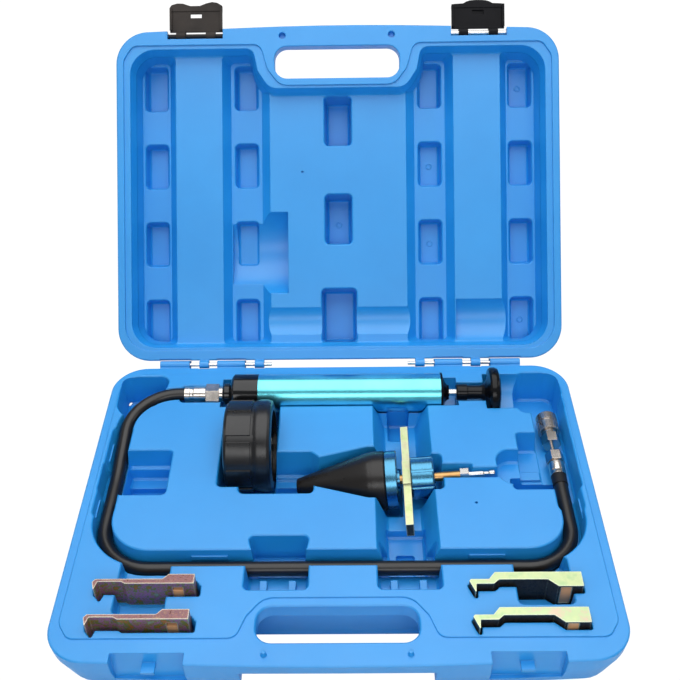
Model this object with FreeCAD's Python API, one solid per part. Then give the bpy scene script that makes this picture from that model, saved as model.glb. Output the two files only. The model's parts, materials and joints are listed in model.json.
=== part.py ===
import FreeCAD, Part

import math
import os

from FreeCAD import Rotation, Vector

# Radiator pressure tester in its blow-moulded carry case. Millimetres, +Z up, +X to the right,
# +Y towards the hinges. The origin is the middle of the face that the base rests on.

# ---------------------------------------------------------------- case
CASE_W = 385.0            # width of both halves at the rim
CASE_D = 292.0            # depth of both halves at the rim, at the middle of the bowed front
SIDE = CASE_W / 2
FRONT = -CASE_D / 2
REAR = CASE_D / 2
CROWN = 6.0               # how far the front edge bows out at its middle
CORNER_R = 28.0           # plan radius of the case corners
CROWN_R = 2600.0          # radius of the bowed front edge
BASE_H = 45.0             # base, from its resting face to its rim
LID_H = 44.0              # lid, from its rim to its back
WALL_TAPER = 4.0          # how much the outer walls lean in from rim to bottom
EDGE = 4.5                # rounding of the outer bottom edges
LIP = 0.9                 # rounding of rims and pocket mouths
LAND = 1.2                # step from the rim band up to the land that holds the pockets
LAND_INSET = (6.6, 8.9, 22.0)  # rim band at the sides, the rear and the front
SEAL_GAP = 0.4            # gap between the closed rims
DRAFT = 3.0               # draft of the pocket walls, degrees
FOOT = 1.6                # rounding at the foot of the pocket walls
RIM = BASE_H
TOP = RIM + LAND
OVERCUT = 3.0

HANDLE_X = 54.4           # half width of the hand hole
HANDLE_Y0 = FRONT + 19.3  # front of the hand hole
HANDLE_Y1 = HANDLE_Y0 + 28.0  # rear of the hand hole
HANDLE_R = 11.0
GRIP_T = 26.0             # thickness of the grip below the rim
GRIP_X = 68.0             # half width of the thinner grip zone
HORN_X = 67.0             # half width of the land's notch round the hand hole
PEG_X = 47.5
PEG_Y = FRONT + 10.0
PEG_R = 2.2
PEG_H = 4.0

# ---------------------------------------------------------------- hinges and latches
OPEN_ANGLE = 130.0        # angle between closed and open rest
HINGE_OUT = 3.6           # hinge axis behind the rear edge
HINGE_Y = REAR + HINGE_OUT
HINGE_Z = RIM + SEAL_GAP / 2
HINGE_FIT = 0.05
PIN_R = 1.5
KNUCKLE_R = HINGE_OUT - 0.3
BASE_KNUCKLES = ((82.0, 106.0), (130.0, 155.5))
LID_KNUCKLES = ((65.5, 73.5), (113.5, 121.5))
HINGE_PIN = (59.0, 155.5)
STOP_LENGTH = 8.0         # sloping stop face below each base knuckle

LATCH_X = 123.5           # middle of each latch
LATCH_W = 46.0
LATCH_BAY = 48.5          # width of the recess that the latch hangs in
LATCH_PIN_R = 1.9
LATCH_PIN_Y = FRONT + 7.8  # latch pin, seen with the lid closed
LATCH_PIN_H = 6.5         # latch pin above the rim, with the lid closed
LATCH_T = 2.2
LATCH_SKIN = {-1: -2.0, 1: 0.8}  # wall left outside the slot, which goes right through on the left
LATCH_KNUCKLES = ((-17.0, -9.0), (9.0, 17.0))
LATCH_REACH = 29.0        # latch pin to latch tip
LATCH_KNUCKLE_R = 3.6
LATCH_SLOT = (10.0, 3.8)
LATCH_SLOT_S = 18.5       # latch pin to the slot's middle
BAY_DEPTH = 7.0           # depth of the latch recess behind the front wall

# ---------------------------------------------------------------- pump
PUMP_Y = REAR - 34.0
PUMP_Z = RIM
BARREL_R = 16.0
BARREL_BORE_R = 14.2
BARREL = (-67.3, 84.0)
SPIGOT = 8.0              # depth of each end's spigot in the barrel
SPIGOT_FIT = 0.04
HEAD_X0 = -88.7
HEAD_R = 16.5
NECK_X0 = -96.7
NECK_R = 9.0
PORT_R = 3.0              # air passage
CAP_TIP_X = 91.2
ROD_R = 3.0
ROD_FIT = 0.08
CHAMBER_END = 4.0         # valve seat to the barrel's end
PISTON = (-53.0, -41.0)
PISTON_FIT = 0.25
SEAL_R = 1.5
HUB_X0 = 97.4
HUB_R = 6.8
DISC_X = (123.6, 133.2)
DISC_R = 20.5
SWIVEL = (-111.3, -97.4)
SWIVEL_R = 7.6
FERRULE = (-129.3, -111.8)
FERRULE_R = 6.6

# ---------------------------------------------------------------- gauge
GAUGE_Y = PUMP_Y - 60.5
GAUGE_X = (-88.5, -51.5)  # rubber boot, back to front
GAUGE_R = 31.5
BOOT_SKIN = 5.0           # rubber over the gauge, at the front ring
BOOT_R = GAUGE_R + BOOT_SKIN
BOOT_WALL = 3.6
GAUGE_BACK = GAUGE_X[0] + 3.8
DIAL_X = GAUGE_X[1] - 13.9
LENS_X = GAUGE_X[1] - 6.5
LENS_T = 2.4
STEM_X = -77.5
STEM_R = 6.0
PAD_COUNT = 10

# ---------------------------------------------------------------- hose and coupler
HOSE_R = 5.3
HOSE_DROP = 12.3          # hose centre below the rim, in its channel
CHANNEL_W = 13.8          # channel across the front
SIDE_CHANNEL_W = 18.0     # channel along both sides, flared
SIDE_DRAFT = 10.0
CHANNEL_DEPTH = HOSE_DROP + HOSE_R + 0.3
HOSE_LEFT_X = 19.1 - SIDE
HOSE_RIGHT_X = SIDE - 21.7
HOSE_FRONT_Y = FRONT + 87.4
HOSE_DIP_Y = 30.0         # where the hose reaches its depth in the left channel
HOSE_BENDS = (40.0, 38.0, 35.0)
CHANNEL_BENDS = (40.0, 38.0, 38.0)
NUB = 1.2                 # how far the snap ribs stand out over the hose
COUPLER_X = HOSE_RIGHT_X
COUPLER_Z = RIM - HOSE_DROP
STROKE = COUPLER_X - 9.6 - DISC_X[1]  # plunger travel before its disc meets the coupler
COUPLER_Y = HOSE_FRONT_Y + 86.1  # where the hose meets the coupler
END_SLEEVE = 9.5
CUP = 12.2                # length of the coupler's hose cup
COUPLER_NUT = (14.2, 23.4)
COUPLER_COLLAR = (34.2, 43.6)
SOCKET_X0 = 49.0          # foot of the coupler's socket, from the hose's end
SLEEVE_X = (47.2, 65.6)   # locking sleeve, from the hose's end
SLEEVE_TRAVEL = 2.5

# ---------------------------------------------------------------- filler neck adapter
AD_Y = HOSE_FRONT_Y + 81.4
AD_X = 28.3               # large end of the cone
AD_Z = RIM - 10.7
AD_TILT = 5.5
CONE_TIP = (-61.0, 6.5)   # distance from the large end, radius
CONE_R = 23.0
CONE_LAND = 8.1
CONE_REST = 0.2           # room under the cone in its pocket
PRESS_DISC = (8.2, 17.2)
PRESS_DISC_R = 22.6
COLLAR = (17.2, 19.0)
COLLAR_R = 7.0
BAR = (21.6, 27.4)
BAR_LENGTH = 101.0
BAR_TALL = 13.0
BOSS_LENGTH = 23.6
NUT = (27.7, 45.7)
NUT_R = 16.3
NUT_LOBES = 8
THREAD_R = 3.6
THREAD_END = 65.3
HEX = (65.3, 71.9)
HEX_R = 4.6
NIPPLE = (71.9, 91.9)
NIPPLE_R = 2.3
NIPPLE_PLAIN = 11.0       # plain length up to the nipple's groove
SOCKET_R = NIPPLE_R + 0.08

# ---------------------------------------------------------------- claws
CLAW_H = 24.0
CLAW_CLEAR = 0.7
CLAW_LIFT_GAP = 0.3
STEPPED_CLAW = (
    (76.8, 0.0), (18.0, 0.0), (13.5, -5.7), (1.2, -5.7), (0.0, -7.2), (3.9, -17.1),
    (4.6, -9.5), (16.5, -9.5), (20.2, -6.1), (53.4, -6.1), (59.9, -11.8), (76.8, -11.8),
)
LIPPED_CLAW = (
    (69.5, 3.8), (51.5, 3.8), (47.8, 0.0), (2.0, 0.0), (0.0, -2.4), (1.8, -9.0),
    (3.7, -2.2), (19.5, -2.2), (22.5, -3.9), (69.5, -3.9),
)
CLAW_Y = (FRONT + 63.0, FRONT + 34.7, FRONT + 69.2, FRONT + 40.8)
# profile, corner, height of its top over the rim, play towards +X and towards -Y in the tray
CLAWS = {
    "rear_left": (LIPPED_CLAW, 25.5 - SIDE, CLAW_Y[0], 9.8, (3.0, -3.7)),
    "front_left": (LIPPED_CLAW, 25.2 - SIDE, CLAW_Y[1], 9.8, (3.0, -3.7)),
    "rear_right": (STEPPED_CLAW, SIDE - 103.0, CLAW_Y[2], 6.8, (0.6, -1.2)),
    "front_right": (STEPPED_CLAW, SIDE - 103.1, CLAW_Y[3], 6.8, (0.6, -1.2)),
}
# from the claw's top down to its window and to its insert
CLAW_FACE = {"left": (4.5, 8.4), "right": (1.5, 1.7)}
CLAW_WINDOW = 7.0         # width of the window for the clamp bar
CLAW_WINDOW_END = 8.0     # window to the claw's thick end
INSERT_FIT = 0.05

X = Vector(1, 0, 0)
Y = Vector(0, 1, 0)
Z = Vector(0, 0, 1)


# ---------------------------------------------------------------- helpers
def outline(points, z, inset=0.0, radius=4.0):
    """Wire round a plan polygon (anticlockwise), moved in by inset, each corner an arc."""
    count = len(points)
    radii = radius if isinstance(radius, (tuple, list)) else [radius] * count
    starts, mids, ends = [], [], []
    for i, point in enumerate(points):
        here = Vector(point[0], point[1], z)
        before = Vector(points[i - 1][0], points[i - 1][1], z)
        after = Vector(points[(i + 1) % count][0], points[(i + 1) % count][1], z)
        d1 = (here - before).normalize()
        d2 = (after - here).normalize()
        n1 = Z.cross(d1)
        n2 = Z.cross(d2)
        corner = here + (n1 + n2) * (inset / (1 + n1.dot(n2)))
        turn = math.atan2(d1.cross(d2).z, d1.dot(d2))
        side = 1 if turn > 0 else -1
        r = max(radii[i] - side * inset, 0.3)
        reach = r * math.tan(abs(turn) / 2)
        inwards = (n1 + n2).normalize() * side
        centre = corner + inwards * (r / math.cos(turn / 2))
        starts.append(corner - d1 * reach)
        mids.append(centre - inwards * r)
        ends.append(corner + d2 * reach)
    edges = []
    for i in range(count):
        edges.append(Part.Arc(starts[i], mids[i], ends[i]).toShape())
        edges.append(Part.LineSegment(ends[i], starts[(i + 1) % count]).toShape())
    return Part.Wire(edges)


def stack(points, sections, radius):
    """Solid through outlines of one polygon, one for each (height, inset)."""
    wires = [outline(points, z, inset, radius) for z, inset in sections]
    return Part.makeLoft(wires, True, True)


def box_points(x0, x1, y0, y1):
    """Corners of a plan rectangle, anticlockwise."""
    return ((x1, y1), (x0, y1), (x0, y0), (x1, y0))


def tub(points, depth, radius=5.0, draft=DRAFT, top=TOP, lip=LIP):
    """Cutter for a moulded pocket: flared mouth, drafted walls, rounded foot."""
    slope = depth * math.tan(math.radians(draft))
    sections = (
        (top - depth, slope + FOOT),
        (top - depth + FOOT, slope),
        (top - lip, 0.0),
        (top, -lip),
        (top + OVERCUT, -lip),
    )
    return stack(points, sections, radius)


def box(x0, x1, y0, y1, z0, z1):
    """Solid block between two corners."""
    return Part.makeBox(x1 - x0, y1 - y0, z1 - z0, Vector(x0, y0, z0))


def rod(x0, x1, r, y=0.0, z=0.0):
    """Cylinder along X."""
    return Part.makeCylinder(r, x1 - x0, Vector(x0, y, z), X)


def turned(profile, y=0.0, z=0.0):
    """Solid turned about an X axis at (y, z) from (x, radius) points."""
    wire = Part.makePolygon([Vector(x, y + r, z) for x, r in profile] + [
        Vector(profile[0][0], y + profile[0][1], z)])
    return Part.Face(wire).revolve(Vector(0, y, z), X, 360)


def prism(points, axis, x0, x1):
    """Solid swept along X from (y, z) points."""
    wire = Part.makePolygon([Vector(x0, py, pz) for py, pz in points] + [
        Vector(x0, points[0][0], points[0][1])])
    return Part.Face(wire).extrude(axis * (x1 - x0))


def hexagon(x0, x1, across, y=0.0, z=0.0):
    """Hexagonal bar along X with a flat on top."""
    r = across / math.sqrt(3)
    points = [(y + r * math.cos(math.radians(60 * k)), z + r * math.sin(math.radians(60 * k)))
              for k in range(6)]
    return prism(points, X, x0, x1)


def fuse(first, *others):
    """One solid from touching solids."""
    return first.multiFuse(list(others)).removeSplitter()


def route(points, radii):
    """Wire of straight runs joined by tangent arcs, one radius for each inner point."""
    edges = []
    start = points[0]
    for here, after, radius in zip(points[1:], points[2:], radii):
        d1 = (here - start).normalize()
        d2 = (after - here).normalize()
        turn = d1.getAngle(d2)
        reach = radius * math.tan(turn / 2)
        inwards = (d2 - d1).normalize()
        arc_start = here - d1 * reach
        arc_end = here + d2 * reach
        middle = here + inwards * (radius / math.cos(turn / 2) - radius)
        edges.append(Part.LineSegment(start, arc_start).toShape())
        edges.append(Part.Arc(arc_start, middle, arc_end).toShape())
        start = arc_end
    edges.append(Part.LineSegment(start, points[-1]).toShape())
    return Part.Wire(edges)


def save(node, shape):
    """Writes one node and prints its volume."""
    if not shape.isValid():
        print("INVALID", node)
    shape.exportStep("parts/%s.step" % node)
    print("%-22s %2d solids %12.1f mm3" % (node, len(shape.Solids), shape.Volume))


# ---------------------------------------------------------------- case outlines
def case_points(front, rear):
    """Plan of a case half, with a bowed front edge."""
    return ((SIDE, rear), (-SIDE, rear), (-SIDE, front + CROWN), (0.0, front), (SIDE, front + CROWN))


def land_points(side, rear, low):
    """Plan of the land inside the rim band, notched round the hand hole."""
    notch = FRONT + LAND_INSET[2]
    return (
        (side, rear), (-side, rear), (-side, low + 12.0), (-side + 8.0, low),
        (-HORN_X, low), (-HORN_X + 6.0, notch + 17.0), (-HORN_X + 17.0, notch + 31.5),
        (HORN_X - 17.0, notch + 31.5), (HORN_X - 6.0, notch + 17.0), (HORN_X, low),
        (side - 8.0, low), (side, low + 12.0),
    )


CASE_RADII = (CORNER_R, CORNER_R, CORNER_R, CROWN_R, CORNER_R)
LAND_RADII = (22.0, 22.0, 12.0, 8.0, 8.0, 12.0, 14.0, 14.0, 12.0, 8.0, 8.0, 12.0)
def half_shell(height):
    """Outside of a case half with its rim up at z = 0 and its back at z = -height."""
    sections = (
        (-height, WALL_TAPER + EDGE),
        (-height + 0.3 * EDGE, WALL_TAPER + 0.3 * EDGE),
        (-height + EDGE, WALL_TAPER),
        (-LIP, 0.0),
        (0.0, LIP),
    )
    return stack(case_points(FRONT, REAR), sections, CASE_RADII)


def hand_hole(z0, z1):
    """Cutter for the hand hole, flared at both faces."""
    points = box_points(-HANDLE_X, HANDLE_X, HANDLE_Y0, HANDLE_Y1)
    flare = 1.0
    sections = (
        (z0 - OVERCUT, -flare), (z0, -flare), (z0 + flare, 0.0),
        (z1 - flare, 0.0), (z1, -flare), (z1 + OVERCUT, -flare),
    )
    return stack(points, sections, HANDLE_R)


# ---------------------------------------------------------------- routes
def hose_points():
    """Corner points of the hose's route, from the pump ferrule to the coupler."""
    deep = RIM - HOSE_DROP
    return (
        Vector(FERRULE[1] - 3.0, PUMP_Y, PUMP_Z),
        Vector(HOSE_LEFT_X, PUMP_Y, PUMP_Z),
        Vector(HOSE_LEFT_X, HOSE_DIP_Y, deep),
        Vector(HOSE_LEFT_X, HOSE_FRONT_Y, deep),
        Vector(HOSE_RIGHT_X, HOSE_FRONT_Y, deep),
        Vector(COUPLER_X, COUPLER_Y + CUP - 2.0, COUPLER_Z),
    )


HOSE_RADII = (HOSE_BENDS[0], 150.0, HOSE_BENDS[1], HOSE_BENDS[2])


def hose_channel(right, bends):
    """Cutter for the open channel that the hose lies in, down to its right run at x = right."""
    floor = TOP - CHANNEL_DEPTH - LAND
    corners = (
        Vector(NECK_X0, PUMP_Y, floor),
        Vector(HOSE_LEFT_X, PUMP_Y, floor),
        Vector(HOSE_LEFT_X, HOSE_FRONT_Y, floor),
        Vector(right, HOSE_FRONT_Y, floor),
        Vector(right, COUPLER_Y + 35.0, floor),
    )
    path = route(corners, bends)
    half = CHANNEL_W / 2
    depth = TOP - floor
    draft = depth * math.tan(math.radians(DRAFT))
    section = (
        (-half + draft + FOOT, 0.0), (half - draft - FOOT, 0.0), (half - draft, FOOT),
        (half, depth - LIP), (half + LIP, depth), (half + LIP, depth + OVERCUT),
        (-half - LIP, depth + OVERCUT), (-half - LIP, depth), (-half, depth - LIP),
        (-half + draft, FOOT),
    )
    wire = Part.makePolygon([corners[0] + Y * a + Z * b for a, b in section + section[:1]])
    return path.makePipeShell([wire], True, False)


# ---------------------------------------------------------------- base
def side_channels():
    """Cutters that flare the hose channel along both sides."""
    depth = CHANNEL_DEPTH + LAND
    outer = SIDE_CHANNEL_W / 2
    left = tub(box_points(HOSE_LEFT_X - outer, HOSE_LEFT_X + 7.1, -22.0, 76.0), depth, 8.0, draft=SIDE_DRAFT)
    right = tub(box_points(HOSE_RIGHT_X - 8.6, HOSE_RIGHT_X + outer + 1.8, -20.0, 30.0), depth, 8.0,
                draft=SIDE_DRAFT)
    return [left, right]


def snap_ribs():
    """Small ribs on the channel's walls that hold the hose down."""
    half = CHANNEL_W / 2
    top = RIM - HOSE_DROP + HOSE_R + 1.6
    wall = HOSE_FRONT_Y + half
    left = HOSE_LEFT_X - SIDE_CHANNEL_W / 2
    right = HOSE_RIGHT_X + SIDE_CHANNEL_W / 2 + 1.8
    ribs = [box(x, x + 26.0, wall - NUB, wall + 2.0, top - 4.0, top) for x in (-105.0, 93.0)]
    ribs += [box(left - 1.0, left + 2.0, y, y + 19.0, top - 4.0, top) for y in (-18.0, 41.0)]
    ribs.append(box(right - 2.0, right + 1.0, -20.0, -1.0, top - 4.0, top))
    return ribs


def pump_trough():
    """Cutter for the pump, its gauge, its hose end and its plunger's travel."""
    clear = 0.5
    barrel = rod(NECK_X0 - 2.0, HUB_X0 + 1.0, HEAD_R + clear, PUMP_Y, PUMP_Z)
    over = box(NECK_X0 - 2.0, HUB_X0 + 1.0, PUMP_Y - HEAD_R - clear, PUMP_Y + HEAD_R + clear,
               PUMP_Z, TOP + OVERCUT)
    nose = tub(box_points(SWIVEL[0] - 22.0, NECK_X0, PUMP_Y - 10.5, PUMP_Y + 9.5), 12.0, 4.0)
    hub = tub(box_points(HUB_X0 - 3.0, DISC_X[0] + 2.0, PUMP_Y - 11.0, PUMP_Y + 11.0), 12.0, 4.0)
    disc_end = DISC_X[1] + STROKE + 1.0
    wheel = rod(DISC_X[0] - 2.5, disc_end, DISC_R + clear, PUMP_Y, PUMP_Z)
    wheel_over = box(DISC_X[0] - 2.5, disc_end, PUMP_Y - DISC_R - clear, PUMP_Y + DISC_R + clear,
                     PUMP_Z, TOP + OVERCUT)
    return [barrel, over, nose, hub, wheel, wheel_over]


def gauge_pockets():
    """Cutters for the gauge and for the cone's tip beside it."""
    deep = TOP - (PUMP_Z - BOOT_R - 0.3)
    low = GAUGE_Y - BOOT_R - 7.0
    front = AD_Y - 21.8
    drum = tub(box_points(GAUGE_X[0] - 4.2, GAUGE_X[1] + 2.6, low, PUMP_Y), deep, 4.0)
    toe = tub(box_points(-76.0, -40.0, front, low + 22.0), 30.0, 5.0)
    tip = tub(((-22.0, front + 43.0), (-52.0, front + 43.0), (-52.0, front), (-25.0, front),
               (-13.0, front + 21.0), (-14.0, front + 35.5)), 27.0, 4.0)
    tip_low = tub(box_points(-52.0, -19.0, front, front + 40.5), 29.5, 4.0)
    tip_end = tub(box_points(-52.0, -23.0, front, front + 32.5), 36.0, 4.0)
    return [drum, toe, tip, tip_low, tip_end]


def adapter_pockets():
    """Cutters for the adapter: cone, discs, clamp bar, nut and stem."""
    half = CONE_R + 3.2
    tip = 13.2
    cone = tub(((AD_X + 13.0, AD_Y + half), (AD_X - 6.0, AD_Y + half), (-22.0, AD_Y + tip), (-22.0, AD_Y - tip),
                (AD_X - 6.0, AD_Y - half), (AD_X + 13.0, AD_Y - half)), TOP - AD_Z + CONE_R + CONE_REST, 3.0)
    trough = tub(box_points(28.0, 72.0, HOSE_FRONT_Y, PUMP_Y - 8.0), 25.0, 6.0, draft=18.0)
    disc = tub(box_points(34.5, 50.5, AD_Y - half, AD_Y + half), TOP - AD_Z + PRESS_DISC_R + 1.5, 3.0)
    step = tub(box_points(34.0, 66.0, HOSE_FRONT_Y, AD_Y - 37.0), 33.0, 3.0)
    nut = tub(box_points(50.0, 79.8, AD_Y - NUT_R - 2.0, AD_Y + NUT_R + 2.0), 27.0, 4.0)
    stem = tub(box_points(68.0, 103.0, AD_Y - 6.8, AD_Y + 7.7), 12.5, 3.0)
    stem_end = tub(box_points(96.0, 126.0, AD_Y - 6.8, AD_Y + 3.7), 12.5, 3.0)
    rear_dimple = tub(box_points(38.5, 58.5, AD_Y + 54.0, PUMP_Y - 6.0), 34.0, 4.0)
    front_dimple = tub(box_points(40.5, 58.0, HOSE_FRONT_Y + 5.0, HOSE_FRONT_Y + 28.0), 37.5, 4.0)
    return [cone, trough, disc, step, nut, stem, stem_end, rear_dimple, front_dimple]


def finger_pockets():
    """Cutters for finger room and for the corners of the tray."""
    front = AD_Y - 22.3
    wall = SIDE - 8.0
    left = tub(box_points(-wall + 16.5, -wall + 54.0, front, front + 46.3), 19.0, 4.0)
    left_low = tub(box_points(-wall + 16.5, -wall + 53.4, front, front + 43.8), 29.5, 4.0)
    left_end = tub(box_points(-wall + 16.5, -wall + 53.0, front, front + 33.5), 36.0, 4.0)
    left_bulge = tub(box_points(-wall + 1.5, -wall + 14.5, front + 3.5, front + 35.5), CHANNEL_DEPTH, 4.0)
    rear_left = tub(((-wall + 41.0, PUMP_Y + 22.0), (-wall - 1.0, PUMP_Y + 22.0), (-wall + 0.5, PUMP_Y - 15.0),
                     (-wall + 8.5, PUMP_Y - 28.0), (-wall + 34.5, PUMP_Y - 12.0)), 30.0, 8.0)
    bar = box(138.0, 166.0, front + 29.5, front + 38.0, 0.0, TOP - 20.0)
    right = tub(box_points(140.5, wall - 8.5, front + 3.0, front + 63.0), 22.0, 4.0).cut(bar)
    right_low = tub(box_points(132.0, wall - 8.5, front + 3.0, front + 28.0), 30.0, 3.0)
    lobe = tub(box_points(122.0, 150.0, AD_Y - 13.8, AD_Y + 22.2), 15.0, 12.0)
    right_bulge = tub(box_points(wall - 28.0, wall - 1.0, front + 3.5, front + 97.0), TOP - COUPLER_Z + 9.0, 5.0)
    rear_right = tub(box_points(147.0, wall, PUMP_Y - 11.0, PUMP_Y + 23.0), 31.0, 10.0)
    ledge = tub(box_points(147.0, wall - 0.5, PUMP_Y - 26.0, PUMP_Y - 2.0), 22.0, 6.0)
    return [left, left_low, left_end, left_bulge, rear_left, right, right_low, lobe, right_bulge, rear_right, ledge]


def front_notches():
    """Cutters for the finger notches across the hose's front run."""
    cuts = []
    run = HOSE_FRONT_Y
    for x0, x1 in ((-65.0, -20.5), (27.5, 72.0)):
        rear = tub(((x1, run + 19.6), (x0, run + 19.6), (x0 + 6.0, run - 3.4), (x1 - 4.0, run - 3.4)), 26.0, 4.0)
        front = tub(box_points(x0, x1, run - 27.4, run), 21.0, 4.0)
        ribs = [box(x, x + 5.0, run - 25.4, run - 8.4, 0.0, TOP - 16.0) for x in (x0 + 9.5, x1 - 14.5)]
        cuts += [rear, front.cut(Part.makeCompound(ribs))]
    return cuts


def claw_pockets():
    """Cutters that follow each claw, with finger room between the pairs."""
    cuts = []
    for points, x, y, proud, play in CLAWS.values():
        floor = RIM + proud - CLAW_H - CLAW_LIFT_GAP
        sections = ((floor, -CLAW_CLEAR), (TOP - LIP / 2, -CLAW_CLEAR), (TOP, -CLAW_CLEAR - LIP / 2),
                    (TOP + OVERCUT, -CLAW_CLEAR - LIP / 2))
        for share in (0.0, 0.5, 1.0):
            placed = [(x + px + share * play[0], y + py + share * play[1]) for px, py in points]
            cuts.append(stack(placed, sections, 0.6))
    left = CLAWS["rear_left"]
    right = CLAWS["rear_right"]
    cuts.append(tub(box_points(left[1] + 15.0, left[1] + 50.0, left[2] - 22.0, HOSE_FRONT_Y), 12.5, 4.0))
    cuts.append(tub(box_points(right[1] + 32.5, right[1] + 70.5, right[2] - 22.0, HOSE_FRONT_Y), 15.0, 4.0))
    return cuts


def latch_bay(sign, z0, z1):
    """Cutter in a front wall for the latch, between two heights."""
    x = sign * LATCH_X
    half = LATCH_BAY / 2
    back = LATCH_PIN_Y + LATCH_KNUCKLE_R + 0.5
    return box(x - half, x + half, FRONT - 5.0, back, z0, z1)


def base_knuckle(x0, x1):
    """Hinge knuckle on the base, with the sloping face that the open lid leans on."""
    lean = math.radians(OPEN_ANGLE - 90.0)
    along = (math.cos(lean), -math.sin(lean))
    tangent = (KNUCKLE_R * math.sin(lean), KNUCKLE_R * math.cos(lean))
    toe = (tangent[0] + STOP_LENGTH * along[0], tangent[1] + STOP_LENGTH * along[1])
    inner = -HINGE_OUT - 1.6
    wedge = [(inner, -0.9), (inner, toe[1] - 9.0), toe, tangent]
    placed = [(HINGE_Y + y, HINGE_Z + z) for y, z in wedge]
    return fuse(rod(x0, x1, KNUCKLE_R, HINGE_Y, HINGE_Z), prism(placed, X, x0, x1))


def case_base():
    """Moulded lower half: tray, rim, hand hole, catches, pegs and hinge knuckles."""
    shell = half_shell(BASE_H)
    shell.translate(Z * RIM)
    side, rear, front = LAND_INSET
    land = stack(land_points(SIDE - side, REAR - rear, FRONT + front),
                 ((RIM - 1.0, 0.0), (TOP - 0.4, 0.1), (TOP, 0.4)), LAND_RADII)
    knuckles = [base_knuckle(s * a, s * b) if s > 0 else base_knuckle(s * b, s * a)
                for s in (-1, 1) for a, b in BASE_KNUCKLES]
    pegs = [Part.makeCone(PEG_R, PEG_R * 0.6, PEG_H, Vector(s * PEG_X, PEG_Y, RIM - 0.5), Z) for s in (-1, 1)]
    body = fuse(shell, land, *knuckles, *pegs)
    grip = stack(box_points(-GRIP_X, GRIP_X, FRONT - 20.0, HANDLE_Y1 + 8.0),
                 ((-OVERCUT, 0.0), (RIM - GRIP_T - 5.0, 2.0), (RIM - GRIP_T, 6.0)), 8.0)
    cuts = pump_trough() + gauge_pockets() + adapter_pockets() + finger_pockets()
    cuts += front_notches() + claw_pockets() + side_channels()
    cuts += [hose_channel(HOSE_RIGHT_X, HOSE_BENDS), hose_channel(HOSE_RIGHT_X + 2.6, CHANNEL_BENDS)]
    cuts += [grip, hand_hole(RIM - GRIP_T, RIM)]
    cuts += [rod(s * 107.0 - 50.0, s * 107.0 + 50.0, PIN_R + 0.02, HINGE_Y, HINGE_Z) for s in (-1, 1)]
    cuts += [latch_bay(s, RIM - LATCH_REACH + LATCH_PIN_H - 4.0, TOP + OVERCUT) for s in (-1, 1)]
    cuts += [box(*sorted((s * (a - 0.7), s * (b + 0.7))), REAR - 1.5, HINGE_Y, RIM - 5.0, TOP)
             for s in (-1, 1) for a, b in LID_KNUCKLES]
    cuts += [Part.makeCylinder(1.0, 13.0, Vector(102.3, -9.6, TOP - 12.0), Z)]
    body = body.cut(cuts)
    tabs = []
    for s in (-1, 1):
        z = RIM + LATCH_PIN_H - LATCH_SLOT_S
        half = LATCH_SLOT[0] / 2 - 0.5
        rise = LATCH_SLOT[1] / 2 - 0.4
        back = LATCH_PIN_Y + LATCH_KNUCKLE_R + 1.5
        front = LATCH_PIN_Y - LATCH_KNUCKLE_R + (1.1 if s > 0 else -0.3)
        tabs.append(box(s * LATCH_X - half, s * LATCH_X + half, front, back, z - rise, z + rise))
    return fuse(body, *tabs, *snap_ribs())


# ---------------------------------------------------------------- lid, built rim up with the hinge axis at the origin
PLATEAU = 13.6            # depth of the lid's plateaus below its rim
LID_CHANNEL = 27.0        # depth of the lid's channels
DIMPLE = LID_H - 3.5      # depth of the dimples that stiffen the lid
CAVITY_X = SIDE - 11.5
CAVITY_V = (HINGE_OUT + 10.9, CASE_D - 16.5)
CAVITY_DRAFT = 12.6       # lean of the wall round the lid's cavity, degrees
# the lid's channels, (inner, outer) edges: mouth at the plateau, then floor
OUTER_CHANNEL = ((CAVITY_X - 38.0, CAVITY_X - 3.1), (CAVITY_X - 31.0, CAVITY_X - 6.0))
INNER_CHANNEL = ((60.0, 102.0), (68.0, 95.6))
DIMPLE_W = 20.5
DIMPLE_L = 39.5
DIMPLE_PITCH = 69.8
PANEL_DIMPLES = ((48.0, 15.5), (44.2, 12.0), (44.0, 12.0))
PANEL_PITCH = 87.0
NOTCH_V = CAVITY_V[1] - 35.0  # where the lid's cavity stops short of its hand hole
DIMPLE_V0 = CAVITY_V[0] + 3.5
LID_TURN = 180.0 - OPEN_ANGLE


def to_rest(shape):
    """Moves a shape from the lid's own frame to its open rest pose."""
    placed = shape.copy()
    placed.rotate(Vector(0, 0, 0), X, LID_TURN)
    placed.translate(Vector(0, HINGE_Y, HINGE_Z))
    return placed


def from_closed(shape):
    """Turns a shape placed as in the closed case into the lid's own frame."""
    placed = shape.copy()
    placed.translate(Vector(0, -HINGE_Y, -HINGE_Z))
    placed.rotate(Vector(0, 0, 0), X, -180)
    return placed


LID_RIM = -SEAL_GAP / 2


def lid_tub(points, depth, radius=4.0, draft=DRAFT, lip=LIP, mouth=0.0):
    """Cutter for a recess in the lid, in (x, distance from the hinge)."""
    slope = (depth - mouth) * math.tan(math.radians(draft))
    top = LID_RIM - mouth
    sections = ((LID_RIM - depth, slope + FOOT), (LID_RIM - depth + FOOT, slope), (top - lip, 0.0),
                (top, -lip), (top + 0.5, -lip))
    return stack(points, sections, radius)


def lid_cavity_points():
    """Plan of the lid's cavity, notched round its hand hole."""
    v0, v1 = CAVITY_V
    horn = HORN_X + 6.0
    return ((CAVITY_X, v1), (horn, v1), (horn - 4.0, v1 - 20.0), (horn - 14.0, NOTCH_V), (-horn + 14.0, NOTCH_V),
            (-horn + 4.0, v1 - 20.0), (-horn, v1), (-CAVITY_X, v1), (-CAVITY_X, v0), (CAVITY_X, v0))


CAVITY_RADII = (22.0, 8.0, 10.0, 12.0, 12.0, 10.0, 8.0, 22.0, 22.0, 22.0)


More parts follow.
